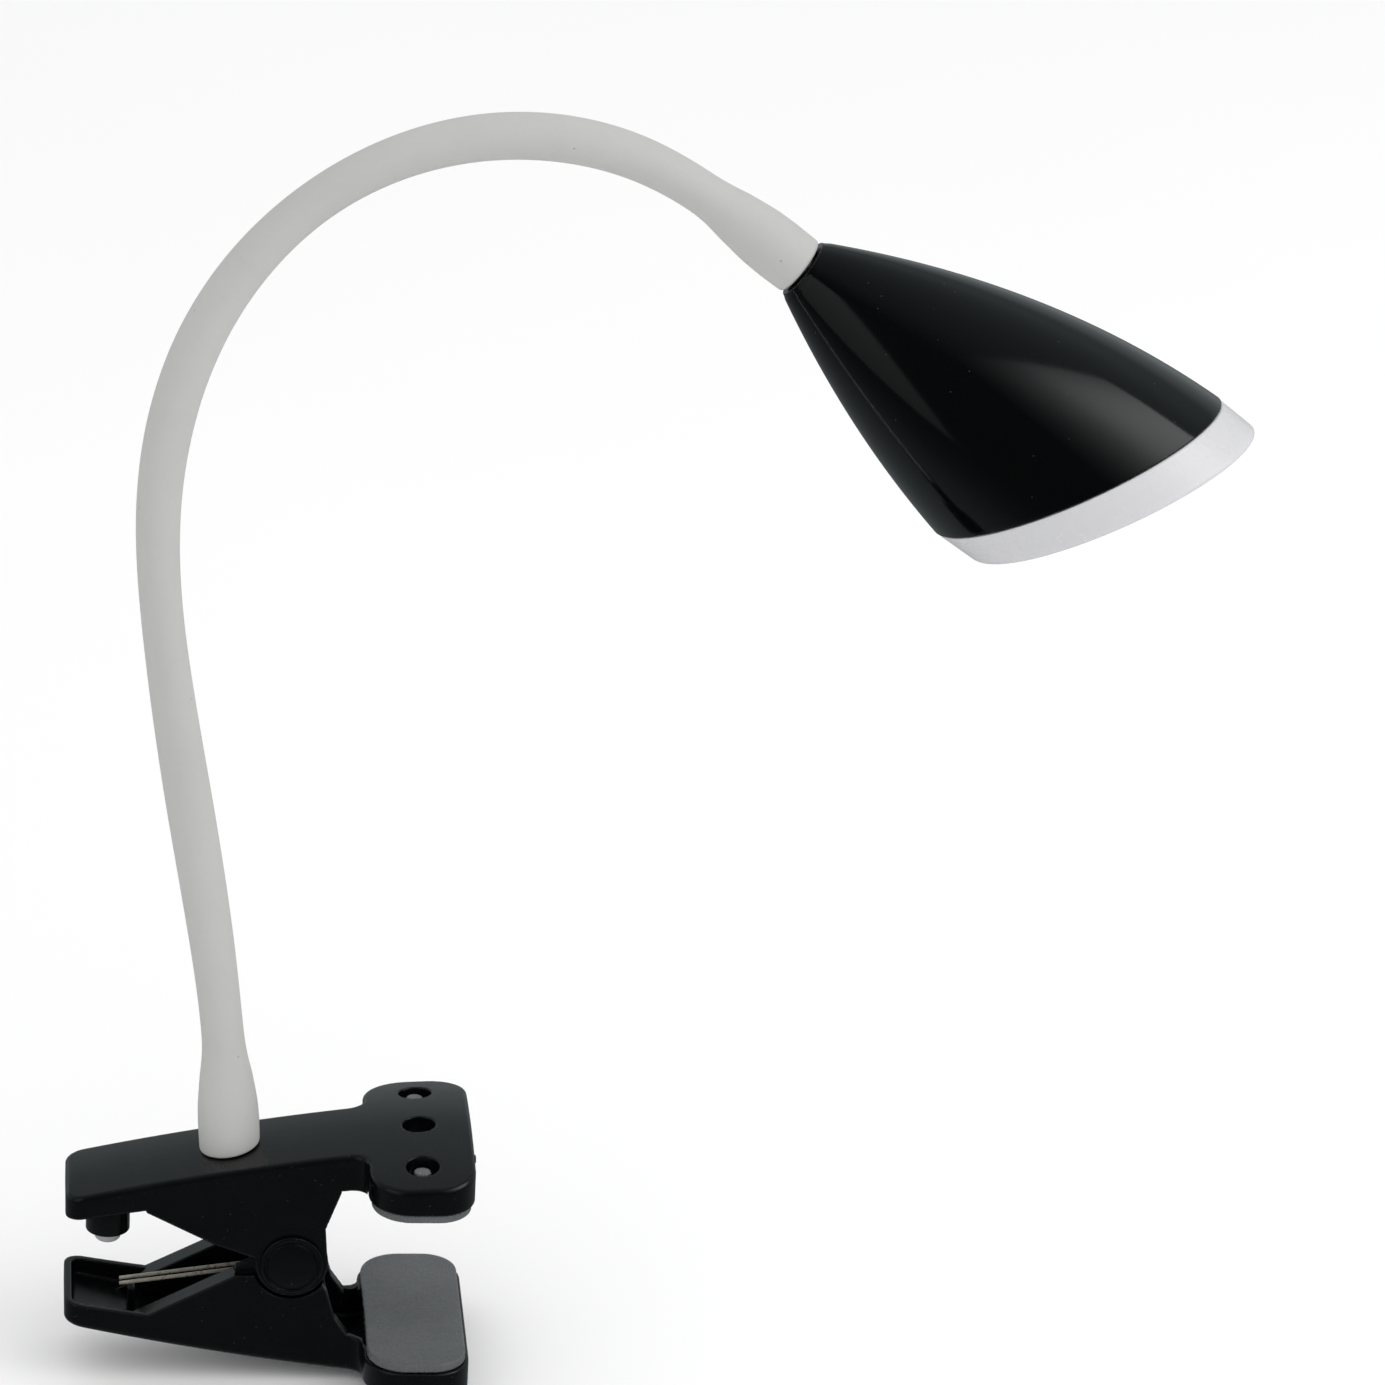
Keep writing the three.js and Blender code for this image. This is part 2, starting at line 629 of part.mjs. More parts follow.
function hexNut(z0, z1, hole) {
  const hex = new THREE.Shape();
  for (let i = 0; i < 6; i++) {
    const turn = Math.PI * i / 3;
    const x = 7 * Math.cos(turn);
    const y = 7 * Math.sin(turn);
    if (i === 0) hex.moveTo(x, y);
    else hex.lineTo(x, y);
  }
  const opening = new THREE.Path();
  opening.absarc(0, 0, hole, 0, 2 * Math.PI, true);
  hex.holes.push(opening);
  const options = { depth: z1 - z0, bevelEnabled: false, curveSegments: 8 };
  return moved(new THREE.ExtrudeGeometry(hex, options), 0, 0, z0);
}

function washer(z0, z1, hole, rim) {
  return upright(closed([[hole, z0], [rim, z0], [rim, z1], [hole, z1]]), 14);
}

// the lead runs from the switch, under the plate, up the neck and into the shade
function leadCurve() {
  const points = [vec(SWITCH_X, 0, -6.6), vec(-74, 0, -8.2), vec(-62, 0, -10.2),
    vec(-54, 0, -11.4)];
  points.push(FOOT.clone().addScaledVector(footAxis, -13.5));
  points.push(FOOT.clone().addScaledVector(footAxis, -8));
  points.push(FOOT.clone());
  for (let k = 0; k <= HINGES; k++) {
    const curve = linkCurve(k);
    for (const share of [0.15, 0.38, 0.62, 0.85]) points.push(curve.getPointAt(share));
  }
  points.push(stations[HINGES + 1].clone());
  points.push(atHeadPoint(12, 0));
  points.push(atHeadPoint(30, 2));
  points.push(atHeadPoint(50, -2));
  points.push(atHeadPoint(66, 4));
  return new THREE.CatmullRomCurve3(points, false, 'centripetal');
}

// ---- head ----
const headUp = vec(Math.sin(SHADE_DROP), 0, 0).addScaledVector(leanUp, Math.cos(SHADE_DROP));
const headSide = headUp.clone().cross(shadeAxis);

function atHeadPoint(t, n) {
  return stations[HINGES + 1].clone().addScaledVector(shadeAxis, t).addScaledVector(headUp, n);
}

// local Y to the shade's axis, local X to its upper side
function atHead(geometry) {
  const frame = new THREE.Matrix4().makeBasis(headUp, shadeAxis, headSide);
  frame.setPosition(stations[HINGES + 1]);
  return geometry.applyMatrix4(frame);
}

// the mouth's own frame: local Z out of the mouth, local X along its long axis
const mouthOut = shadeAxis.clone().multiplyScalar(Math.cos(MOUTH_TILT))
  .addScaledVector(headUp, -Math.sin(MOUTH_TILT));
const mouthLong = shadeAxis.clone().multiplyScalar(Math.sin(MOUTH_TILT))
  .addScaledVector(headUp, Math.cos(MOUTH_TILT));
const mouthWide = mouthOut.clone().cross(mouthLong);

function atMouth(geometry) {
  const frame = new THREE.Matrix4().makeBasis(mouthLong, mouthWide, mouthOut);
  frame.setPosition(atHeadPoint(MOUTH_T, MOUTH_N));
  return geometry.applyMatrix4(frame);
}

// the same for what sits inside the shade, centred on the shade's axis at depth z
const DRIFT = Math.tan(MOUTH_TILT);

function inShade(geometry) {
  return atMouth(moved(geometry, DRIFT * CARRIER_Z, 0, 0));
}

function shadeRadius(t) {
  return SHADE_R0 + SHADE_FLARE * t - SHADE_BEND * t * t;
}

function shadeSolid(gap, from, to, steps, sides) {
  const profile = [[0, from]];
  for (let i = 0; i <= steps; i++) {
    const t = from + (to - from) * i / steps;
    profile.push([shadeRadius(t) - gap, t]);
  }
  profile.push([0, to]);
  return toSolid(atHead(turned(profile, sides)));
}

function oval(a, b, z0, z1, segments) {
  const shape = new THREE.Shape();
  shape.absellipse(0, 0, a, b, 0, 2 * Math.PI, false, 0);
  const options = { depth: z1 - z0, bevelEnabled: false, curveSegments: segments };
  return moved(new THREE.ExtrudeGeometry(shape, options), 0, 0, z0);
}

function screwSpot(degrees) {
  const turn = THREE.MathUtils.degToRad(degrees);
  return [SCREW_SPREAD * Math.cos(turn), SCREW_SPREAD * Math.sin(turn) * MOUTH_B / MOUTH_A];
}

function shade() {
  const mouthCut = toSolid(atMouth(moved(new THREE.BoxGeometry(200, 200, 80), 0, 0, 40)));
  const outside = shadeSolid(0, 0.4, 125, 7, 32);
  const hollow = shadeSolid(SHADE_WALL, 4, 126, 5, 32);
  let body = outside.subtract(hollow);
  for (const degrees of SCREW_ANGLES) {
    const [x, y] = screwSpot(degrees);
    const post = toSolid(inShade(moved(disc(3.2, -48, -9, 12), x, y, 0)));
    const pilot = toSolid(inShade(moved(disc(1.35, -16, -8, 10), x, y, 0)));
    body = body.add(post.intersect(outside)).subtract(pilot);
  }
  const stud = turned([[0, -5], [CORE_R + 0.2, -5], [CORE_R + 0.2, 10], [0, 10]], 20);
  return body.subtract(mouthCut).subtract(toSolid(atHead(stud)));
}

// opal cap: its skirt leans along the shade's axis, its spigot sits inside the shade
function diffuser() {
  const shell = (inset, z0, z1, taper) => {
    const g = oval(MOUTH_A - inset, MOUTH_B - inset, z0, z1, 16);
    const p = g.attributes.position;
    for (let i = 0; i < p.count; i++) {
      const z = p.getZ(i);
      const shrink = 1 - taper * Math.max(z, 0) / DIFFUSER_H;
      p.setXYZ(i, p.getX(i) * shrink + DRIFT * z, p.getY(i) * shrink, z);
    }
    return toSolid(atMouth(g));
  };
  const skirt = shell(0.2, FIT, DIFFUSER_H - 1, 0.01);
  const nose = shell(0.6, DIFFUSER_H - 1.1, DIFFUSER_H, 0.015);
  const spigot = shell(4, -5, FIT + 0.1, 0);
  const hollow = shell(5.6, -6, DIFFUSER_H - 1.8, 0.01);
  return skirt.add(nose).add(spigot).subtract(hollow);
}

function ledCarrier() {
  const blank = oval(MOUTH_A - 5.4, MOUTH_B - 5.2, CARRIER_BACK, CARRIER_FRONT, 9);
  let plate = toSolid(inShade(blank));
  for (const degrees of SCREW_ANGLES) {
    const [x, y] = screwSpot(degrees);
    const hole = disc(1.6, CARRIER_BACK - 1, CARRIER_FRONT + 1, 8);
    plate = plate.subtract(toSolid(inShade(moved(hole, x, y, 0))));
  }
  return plate.subtract(leadHole());
}

function leadHole() {
  return toSolid(inShade(disc(LEAD_HOLE_R, CARRIER_BACK - 1, BOARD_FRONT + 1, 12)));
}

function ledBoard() {
  const blank = oval(26, 23.5, CARRIER_FRONT + 0.2, BOARD_FRONT, 12);
  return toSolid(inShade(blank)).subtract(leadHole());
}

function screw(degrees) {
  const [x, y] = screwSpot(degrees);
  const profile = [[0, -15], [1.2, -15], [1.2, -7.1], [2.5, -7.1], [2.5, -6.1], [1.6, -5.4],
    [0, -5.4]];
  return toSolid(inShade(moved(upright(profile, 12), x, y, 0)));
}

// ---- assembly ----
add('upper_arm', 'satin_black', upperArm());
add('lower_arm', 'satin_black', lowerArm());
add('upper_pad', 'pad', jawPad());
add('lower_pad', 'pad', turnedOver(jawPad()));
add('pivot_pin', 'steel', pivotPin());
add('pivot_cap_near', 'satin_black', pivotCap(-1));
add('pivot_cap_far', 'satin_black', pivotCap(1));
add('torsion_spring', 'steel', torsionSpring());
add('switch_barrel', 'satin_black', switchBarrel());
add('switch_button', 'grey_button', switchButton());
add('button_spring', 'steel', buttonSpring());
add('switch_contacts', 'board_white', contactBlock());

const plateOverFoot = slab((x, y) => plateTop(x, y) + FIT, () => -35);
add('sleeve_0', 'silicone', sleeveLink(0).subtract(plateOverFoot));
for (let k = 1; k <= HINGES; k++) add(`sleeve_${k}`, 'silicone', sleeveLink(k));
for (let k = 0; k <= HINGES; k++) add(`core_${k}`, 'core_steel', coreLink(k));

add('base_ferrule', 'zinc', toSolid(atFoot(upright(ferruleProfile(10.5), 16))));
add('base_washer', 'zinc', toSolid(atFoot(washer(NUT_TOP, NUT_TOP + 1, CORE_R + 0.15, 7.4))));
add('base_nut', 'zinc', toSolid(atFoot(hexNut(NUT_TOP - 4.3, NUT_TOP - 0.3, CORE_R + 0.3))));

const headward = (g) => toSolid(atHead(g.rotateX(QUARTER)));
add('head_ferrule', 'zinc', headward(upright(ferruleProfile(11), 16)));
add('head_washer', 'zinc', headward(washer(-5.3, -4.3, CORE_R + 0.15, 6.2)));
add('head_nut', 'zinc', headward(hexNut(-9.3, -5.6, CORE_R + 0.3)));
add('lead', 'lead_white', wire(leadCurve(), LEAD_R, 76, 4));

add('shade', 'gloss_black', shade());
add('diffuser', 'opal', diffuser());
add('led_carrier', 'aluminium', ledCarrier());
add('led_board', 'board_white', ledBoard());
for (let i = 0; i < LED_COUNT; i++) {
  const turn = 2 * Math.PI * i / LED_COUNT;
  const chip = new THREE.BoxGeometry(LED_SIZE, LED_SIZE, LED_HEIGHT);
  const chipZ = BOARD_FRONT + 0.1 + LED_HEIGHT / 2;
  moved(chip, LED_RING * Math.cos(turn), 0.94 * LED_RING * Math.sin(turn), chipZ);
  add(`led_${i + 1}`, 'led_yellow', toSolid(inShade(chip)));
}
SCREW_ANGLES.forEach((degrees, i) => add(`carrier_screw_${i + 1}`, 'zinc', screw(degrees)));

export default lamp;
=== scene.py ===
"""Looks of the clip-on reading lamp: moulded clip, bending silicone neck, glossy shade and opal cap.

Shapes are worked out in millimetres and stored in metres. Moulded pieces are
signed distance fields, meshed with rounded edges; turned pieces are swept from a profile."""
import json
import math

import bpy
import bmesh
import numpy as np
from mathutils import Matrix, Vector


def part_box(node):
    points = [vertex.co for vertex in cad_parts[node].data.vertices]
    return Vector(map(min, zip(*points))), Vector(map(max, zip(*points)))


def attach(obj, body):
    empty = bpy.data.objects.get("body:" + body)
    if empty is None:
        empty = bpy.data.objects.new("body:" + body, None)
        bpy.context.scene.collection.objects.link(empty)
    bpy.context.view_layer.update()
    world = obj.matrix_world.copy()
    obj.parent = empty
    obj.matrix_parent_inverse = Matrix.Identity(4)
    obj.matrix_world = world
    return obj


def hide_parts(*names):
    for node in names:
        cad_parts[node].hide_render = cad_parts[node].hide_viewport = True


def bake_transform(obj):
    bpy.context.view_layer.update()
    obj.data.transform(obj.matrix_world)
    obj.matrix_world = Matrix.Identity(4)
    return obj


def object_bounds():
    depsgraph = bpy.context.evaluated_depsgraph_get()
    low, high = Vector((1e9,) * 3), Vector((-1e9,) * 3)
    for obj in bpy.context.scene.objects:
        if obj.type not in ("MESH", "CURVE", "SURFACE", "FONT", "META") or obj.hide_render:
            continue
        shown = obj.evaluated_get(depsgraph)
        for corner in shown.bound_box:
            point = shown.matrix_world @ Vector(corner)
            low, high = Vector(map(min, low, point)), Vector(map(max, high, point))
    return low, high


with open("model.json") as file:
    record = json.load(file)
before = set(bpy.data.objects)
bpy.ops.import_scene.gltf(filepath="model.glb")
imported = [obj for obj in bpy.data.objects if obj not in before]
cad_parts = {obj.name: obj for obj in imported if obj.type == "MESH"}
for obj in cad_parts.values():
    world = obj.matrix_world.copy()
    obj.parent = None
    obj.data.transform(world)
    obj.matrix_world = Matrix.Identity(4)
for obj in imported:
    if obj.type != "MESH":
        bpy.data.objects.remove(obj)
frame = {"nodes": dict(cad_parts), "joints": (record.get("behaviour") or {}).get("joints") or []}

MM = 0.001
CAD_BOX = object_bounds()
JOINTS = {j["name"]: j for j in frame["joints"]}

# ---- driving dimensions, in millimetres, as in the CAD ----
FIT = 0.3                       # gap between separate pieces
WALL = 2.0
HANDLE_END = -93.4
ARM_HALF = 14.5
JAW_HALF_X = 14.0
JAW_HALF_Y = 32.5
CROWN_RADIUS = 155.0
ARCH_X = -17.0
ARCH_Z = 11.8
ARCH_SLOPE = 0.128
ARCH_HANDLE = 0.00068
ARCH_JAW = 0.0022
JAW_RIM = 2.5
SKIRT_STEP = -14.0
SKIRT_HANDLE = 6.4
SKIRT_ARCH = 10.4
PEG_SPACING = 21.5
JAW_HOLE_R = 4.4
JAW_BACK_R = 11.5
JAW_FRONT_R = 10.0
PEG_R = 2.3
PEG_TOP = 10.4
PIVOT_X, _, PIVOT_Z = (v / MM for v in JOINTS["clip_pivot"]["pos_m"])
CHEEK_R = 9.7
LOWER_CHEEK_R = 9.0
INNER_CHEEK = 10.2
INNER_WEB = 8.1
PIN_R = 2.0
CAP_R = 8.3
CAP_THICK = 1.2
WIRE_R = 0.52
COIL_R = 6.2
COIL_TURNS = 3.5
LEG_Y = 1.45
BAIL_Y = 8.0
SWITCH_X = -82.0
SWITCH_R = 5.85
SWITCH_BORE = 4.65
SWITCH_BOTTOM = -17.9
BUTTON_R = 3.5
BUTTON_OUT = 3.7
BORE_R = 4.3
CORE_R = 3.95                   # a hair under the CAD's, clear of the sleeve when bent
CORE_BORE_R = 1.6
CUFF_R = 8.1
SEAT_R = 8.5                    # boss under the clip's top that the neck's base sits in
SEAT_DEPTH = 3.6
STUD_HOLE_R = 4.3
SOCKET_R = 5.8
SOCKET_DEPTH = 14.0
CRIMP = 4.6
LEAD_R = 1.0
HINGES = 8
LEAN = math.radians(10)
FOOT = np.array([-50.05, 0.0, 5.8])
FOOT_TILT = math.radians(-3)
SHADE_DROP = math.radians(36)
SHADE_R0 = 8.3
SHADE_FLARE = 0.514
SHADE_BEND = 0.00215
SHADE_WALL = 1.9
MOUTH_T = 90.5
MOUTH_N = 2.3
MOUTH_TILT = math.radians(27.6)
MOUTH_A = 41.1
MOUTH_B = 37.1
DIFFUSER_H = 11.2
SCREW_ANGLES = (0, 100, 260)
SCREW_SPREAD = 31.5
POST_R = 3.2

# ---- camera: the lamp seen from the front, a little from above, with a long lens ----
CAMERA_AT = (-0.1104, -1.660, 0.8581)
CAMERA_LENS = 181.95
CAMERA_PITCH = math.radians(23.3)
CAMERA_YAW = math.radians(6.1)
CAMERA_ROLL = math.radians(3.0)


def placed(name, data):
    """A new object in the scene."""
    made = bpy.data.objects.new(name, data)
    bpy.context.scene.collection.objects.link(made)
    return made


def make_camera():
    data = bpy.data.cameras.new("camera")
    data.lens = CAMERA_LENS
    data.sensor_width = 36
    data.clip_start = 0.05
    data.clip_end = 20
    camera = placed("camera", data)
    cp, sp = math.cos(CAMERA_PITCH), math.sin(CAMERA_PITCH)
    cy, sy = math.cos(CAMERA_YAW), math.sin(CAMERA_YAW)
    forward = Vector((cp * sy, cp * cy, -sp))
    right = Vector((cy, -sy, 0))
    up = right.cross(forward)
    cr, sr = math.cos(CAMERA_ROLL), math.sin(CAMERA_ROLL)
    axes = (cr * right + sr * up, -sr * right + cr * up, -forward)
    turn = Matrix(axes).transposed().to_4x4()
    camera.matrix_world = Matrix.Translation(CAMERA_AT) @ turn
    bpy.context.scene.camera = camera


make_camera()


# ---- materials ----
class Nodes:
    """Short calls for the nodes of a material, the world or a light."""

    def __init__(self, tree):
        self.tree = tree

    def node(self, kind, **facts):
        made = self.tree.nodes.new(kind)
        for name, value in facts.items():
            setattr(made, name, value)
        return made

    def link(self, a, b):
        self.tree.links.new(a, b)

    def feed(self, socket, value):
        """Give a socket another node's output, a tone or a number."""
        if isinstance(value, bpy.types.NodeSocket):
            self.link(value, socket)
        else:
            socket.default_value = (*value, 1) if isinstance(value, tuple) else value

    def ramp(self, value, stops, low=0.0, high=1.0, smooth=False):
        """Tone by value, with stops of (value, tone) between low and high."""
        if (low, high) != (0, 1):
            value = self.spread(value, low, high)
        made = self.node("ShaderNodeValToRGB")
        made.color_ramp.interpolation = "B_SPLINE" if smooth else "LINEAR"
        elements = made.color_ramp.elements
        while len(elements) < len(stops):
            elements.new(0.5)
        for element, (place, tone) in zip(elements, stops):
            element.position = (place - low) / (high - low)
            element.color = (tone, tone, tone, 1)
        self.link(value, made.inputs["Fac"])
        return made.outputs["Color"]

    def spread(self, value, low, high, to_low=0.0, to_high=1.0):
        """A value from low to high, moved to the range from to_low to to_high."""
        made = self.node("ShaderNodeMapRange")
        ends = {"From Min": low, "From Max": high, "To Min": to_low, "To Max": to_high}
        for socket, end in ends.items():
            made.inputs[socket].default_value = end
        self.link(value, made.inputs["Value"])
        return made.outputs["Result"]

    def mix(self, share, a, b, blend="MIX"):
        made = self.node("ShaderNodeMix", data_type="RGBA", blend_type=blend)
        for socket, value in ((0, share), (6, a), (7, b)):
            self.feed(made.inputs[socket], value)
        return made.outputs[2]

    def times(self, a, b):
        made = self.node("ShaderNodeMath", operation="MULTIPLY")
        self.feed(made.inputs[0], a)
        self.feed(made.inputs[1], b)
        return made.outputs[0]


class Look(Nodes):
    """A Principled material and short calls for what varies it."""

    def __init__(self, name, colour, roughness, metallic=0.0, **sockets):
        self.material = bpy.data.materials.new(name)
        self.material.use_nodes = True
        super().__init__(self.material.node_tree)
        self.shader = self.tree.nodes["Principled BSDF"]
        self.set("Base Color", (*colour, 1))
        self.set("Roughness", roughness)
        self.set("Metallic", metallic)
        for socket, value in sockets.items():
            self.set(socket.replace("_", " "), value)
        self.place = self.node("ShaderNodeTexCoord").outputs["Object"]

    def set(self, socket, value):
        self.shader.inputs[socket].default_value = value

    def stretched(self, scale):
        mapping = self.node("ShaderNodeMapping")
        mapping.inputs["Scale"].default_value = scale
        self.link(self.place, mapping.inputs["Vector"])
        return mapping.outputs["Vector"]

    def noise(self, scale, detail=2.0, roughness=0.5, vector=None):
        made = self.node("ShaderNodeTexNoise")
        made.inputs["Scale"].default_value = scale
        made.inputs["Detail"].default_value = detail
        made.inputs["Roughness"].default_value = roughness
        self.link(vector or self.place, made.inputs["Vector"])
        return made.outputs["Fac"]

    def spots(self, scale, size):
        """1 inside small scattered round spots, 0 elsewhere."""
        made = self.node("ShaderNodeTexVoronoi")
        made.inputs["Scale"].default_value = scale
        self.link(self.place, made.inputs["Vector"])
        return self.ramp(made.outputs["Distance"], [(size * 0.5, 1), (size, 0)])

    def edges(self, low=0.53, high=0.6):
        """1 along worn convex edges."""
        pointiness = self.node("ShaderNodeNewGeometry").outputs["Pointiness"]
        return self.ramp(pointiness, [(low, 0), (high, 1)])

    def colour(self, value):
        self.link(value, self.shader.inputs["Base Color"])

    def rough(self, value, low, high):
        self.link(self.spread(value, 0.3, 0.7, low, high), self.shader.inputs["Roughness"])

    def bump(self, *layers):
        """Each layer is (height, depth in millimetres)."""
        previous = None
        for height, depth in layers:
            made = self.node("ShaderNodeBump")
            made.inputs["Distance"].default_value = depth * MM
            self.link(height, made.inputs["Height"])
            if previous is not None:
                self.link(previous, made.inputs["Normal"])
            previous = made.outputs["Normal"]
        self.link(previous, self.shader.inputs["Normal"])


def satin_black():
    """Spark-textured black moulding: fine grain, rubbed edges and a little dust."""
    look = Look("satin_black", (0.0013, 0.0017, 0.002), 0.28, Specular_IOR_Level=0.5)
    patches = look.noise(45, 4)
    tone = look.mix(patches, (0.0007, 0.0010, 0.0012), (0.0016, 0.0022, 0.0025))
    tone = look.mix(look.times(look.edges(), 0.3), tone, (0.03, 0.033, 0.035))
    tone = look.mix(look.times(look.spots(420, 0.09), 0.2), tone, (0.12, 0.125, 0.125))
    look.colour(tone)
    look.rough(look.noise(160, 5, 0.6), 0.17, 0.29)
    look.bump((look.noise(3800, 3, 0.6), 0.004), (look.noise(300, 2), 0.008))
    return look.material


def gloss_black():
    """Polished black shade: faint orange peel, hair scratches and dust."""
    look = Look("gloss_black", (0.0006, 0.0009, 0.001), 0.09, Specular_IOR_Level=0.5)
    dust = look.times(look.spots(260, 0.045), 0.3)
    look.colour(look.mix(dust, (0.0005, 0.0009, 0.001), (0.2, 0.2, 0.2)))
    streaks = look.noise(700, 3, 0.6, look.stretched((1, 9, 1)))
    look.rough(streaks, 0.07, 0.13)
    look.bump((look.noise(90, 1), 0.010), (streaks, 0.0008))
    return look.material


def silicone():
    """Pale matte silicone: cloudy tone, fine powdery grain and small dark specks."""
    look = Look("silicone", (0.48, 0.48, 0.47), 0.62, Subsurface_Weight=0.12,
                Subsurface_Scale=0.002, Sheen_Weight=0.08, Sheen_Roughness=0.6)
    look.set("Subsurface Radius", (1.0, 0.9, 0.8))
    tone = look.mix(look.noise(28, 4), (0.465, 0.465, 0.45), (0.515, 0.515, 0.505))
    tone = look.mix(look.times(look.noise(900, 3), 0.3), tone, (0.42, 0.42, 0.405))
    tone = look.mix(look.times(look.spots(130, 0.045), 0.75), tone, (0.22, 0.21, 0.20))
    look.colour(tone)
    look.rough(look.noise(220, 4), 0.55, 0.72)
    look.bump((look.noise(2600, 3, 0.65), 0.02), (look.noise(70, 3), 0.05))
    return look.material


def clouded(look, dark, light, rough, cloud=(140, 4), shine=(500, 3), grain=(1200, 3), depth=0.01):
    """Finish a look in two close tones, with cloudy roughness and a fine grain."""
    look.colour(look.mix(look.noise(*cloud), dark, light))
    look.rough(look.noise(*shine), *rough)
    look.bump((look.noise(*grain), depth))
    return look.material


def soft_pad():
    """Clear grey silicone of the jaw pads: milky, with swirls."""
    look = Look("soft_pad", (0.2, 0.21, 0.22), 0.3, Transmission_Weight=0.45, IOR=1.43)
    return clouded(look, (0.14, 0.15, 0.155), (0.25, 0.26, 0.27), (0.2, 0.36), (60, 3), (400, 3),
                   (500, 2), 0.02)


def opal():
    """Opal cap: smooth milky plastic with a faint cloud and fine dust."""
    look = Look("opal", (0.62, 0.62, 0.635), 0.28, Subsurface_Weight=0.2,
                Subsurface_Scale=0.004, IOR=1.49)
    look.set("Subsurface Radius", (1.0, 1.0, 1.0))
    tone = look.mix(look.noise(18, 2), (0.595, 0.595, 0.612), (0.635, 0.635, 0.65))
    tone = look.mix(look.times(look.spots(300, 0.03), 0.15), tone, (0.35, 0.35, 0.35))
    look.colour(tone)
    look.rough(look.noise(150, 3), 0.22, 0.33)
    look.bump((look.noise(900, 2), 0.001))
    return look.material


def spring_steel():
    """Drawn wire: bright, with fine lines and brownish oil stains."""
    look = Look("spring_steel", (0.6, 0.57, 0.5), 0.3, 0.55)
    return clouded(look, (0.66, 0.63, 0.56), (0.42, 0.38, 0.31), (0.24, 0.38), (240, 3), (700, 3),
                   (1500, 2), 0.003)


def core_steel():
    """Wound steel strip of the gooseneck core."""
    look = Look("core_steel", (0.4, 0.41, 0.42), 0.4, 1.0)
    return clouded(look, (0.3, 0.31, 0.32), (0.48, 0.49, 0.5), (0.32, 0.5), (200, 4), (800, 3),
                   (1600, 2), 0.02)


def zinc_plate():
    """Zinc plated steel: cool, clouded, with turning marks."""
    look = Look("zinc_plate", (0.6, 0.61, 0.62), 0.33, 1.0)
    tone = look.mix(look.noise(260, 4), (0.66, 0.67, 0.68), (0.45, 0.46, 0.45))
    look.colour(look.mix(look.times(look.edges(), 0.5), tone, (0.85, 0.85, 0.85)))
    look.rough(look.noise(900, 4), 0.25, 0.42)
    look.bump((look.noise(2500, 2, 0.5, look.stretched((0.2, 0.2, 6))), 0.01))
    return look.material


def plain(name, dark, light, roughness, metallic=0.0):
    """Moulded or sheet finish in two close tones with a fine grain."""
    look = Look(name, light, roughness, metallic)
    return clouded(look, dark, light, (roughness * 0.8, roughness * 1.2))


PLAIN = {
    "grey_button": ((0.30, 0.31, 0.32), (0.38, 0.39, 0.40), 0.4),
    "board_white": ((0.74, 0.74, 0.71), (0.82, 0.82, 0.8), 0.4),
    "lead_white": ((0.7, 0.7, 0.68), (0.8, 0.8, 0.78), 0.45),
    "aluminium": ((0.68, 0.69, 0.7), (0.8, 0.81, 0.82), 0.35, 1.0),
    "led_yellow": ((0.72, 0.62, 0.18), (0.86, 0.77, 0.3), 0.35),
}
LOOKS = {make.__name__: make() for make in (satin_black, gloss_black, silicone, soft_pad, opal,
                                            spring_steel, zinc_plate, core_steel)}
LOOKS.update({name: plain(name, *finish) for name, finish in PLAIN.items()})


# ---- mesh tools ----
def make_piece(name, points, faces, look, sharp=None, normals=None):
    """A mesh object from millimetre points. Edges sharper than sharp degrees stay crisp."""
    mesh = bpy.data.meshes.new(name)
    mesh.from_pydata((np.asarray(points, float) * MM).tolist(), [], faces)
    mesh.polygons.foreach_set("use_smooth", [True] * len(mesh.polygons))
    if sharp is not None:
        work = bmesh.new()
        work.from_mesh(mesh)
        for edge in work.edges:
            edge.smooth = edge.calc_face_angle(0) < math.radians(sharp)
        work.to_mesh(mesh)
        work.free()
    if normals is not None:
        mesh.normals_split_custom_set_from_vertices(np.asarray(normals, float).tolist())
    mesh.materials.append(LOOKS[look])
    piece = placed(name, mesh)
    return piece


def rides(piece, body, *nodes):
    """The piece moves with a body and stands for these CAD nodes."""
    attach(piece, body)
    if nodes:
        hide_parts(*nodes)
    return piece


def ring_faces(rows, ring, loop):
    """Quads between rows of ring points; loop also joins the last row to the first."""
    faces = []
    for i in range(rows if loop else rows - 1):
        a, b = i * ring, ((i + 1) % rows) * ring
        for j in range(ring):
            k = (j + 1) % ring
            faces.append((a + j, a + k, b + k, b + j))
    return faces


def swept(name, rows, look, loop=False, sharp=35, flip=False):
    """Piece from rows of ring points; open ends close on a centre point."""
    rows = np.asarray(rows, float)
    count, ring, _ = rows.shape
    points = rows.reshape(-1, 3)
    faces = ring_faces(count, ring, loop)
    if not loop:
        points = np.vstack([points, rows[0].mean(0), rows[-1].mean(0)])
        first, last = count * ring, count * ring + 1
        base = (count - 1) * ring
        for j in range(ring):
            k = (j + 1) % ring
            faces.append((first, k, j))
            faces.append((last, base + j, base + k))
    if flip:
        faces = [f[::-1] for f in faces]
    return make_piece(name, points, faces, look, sharp)


def quarter(count):
    return np.linspace(0, math.pi / 2, count)


def full_turn(count):
    return np.linspace(0, 2 * math.pi, count, endpoint=False)


ARC_STEPS = 4


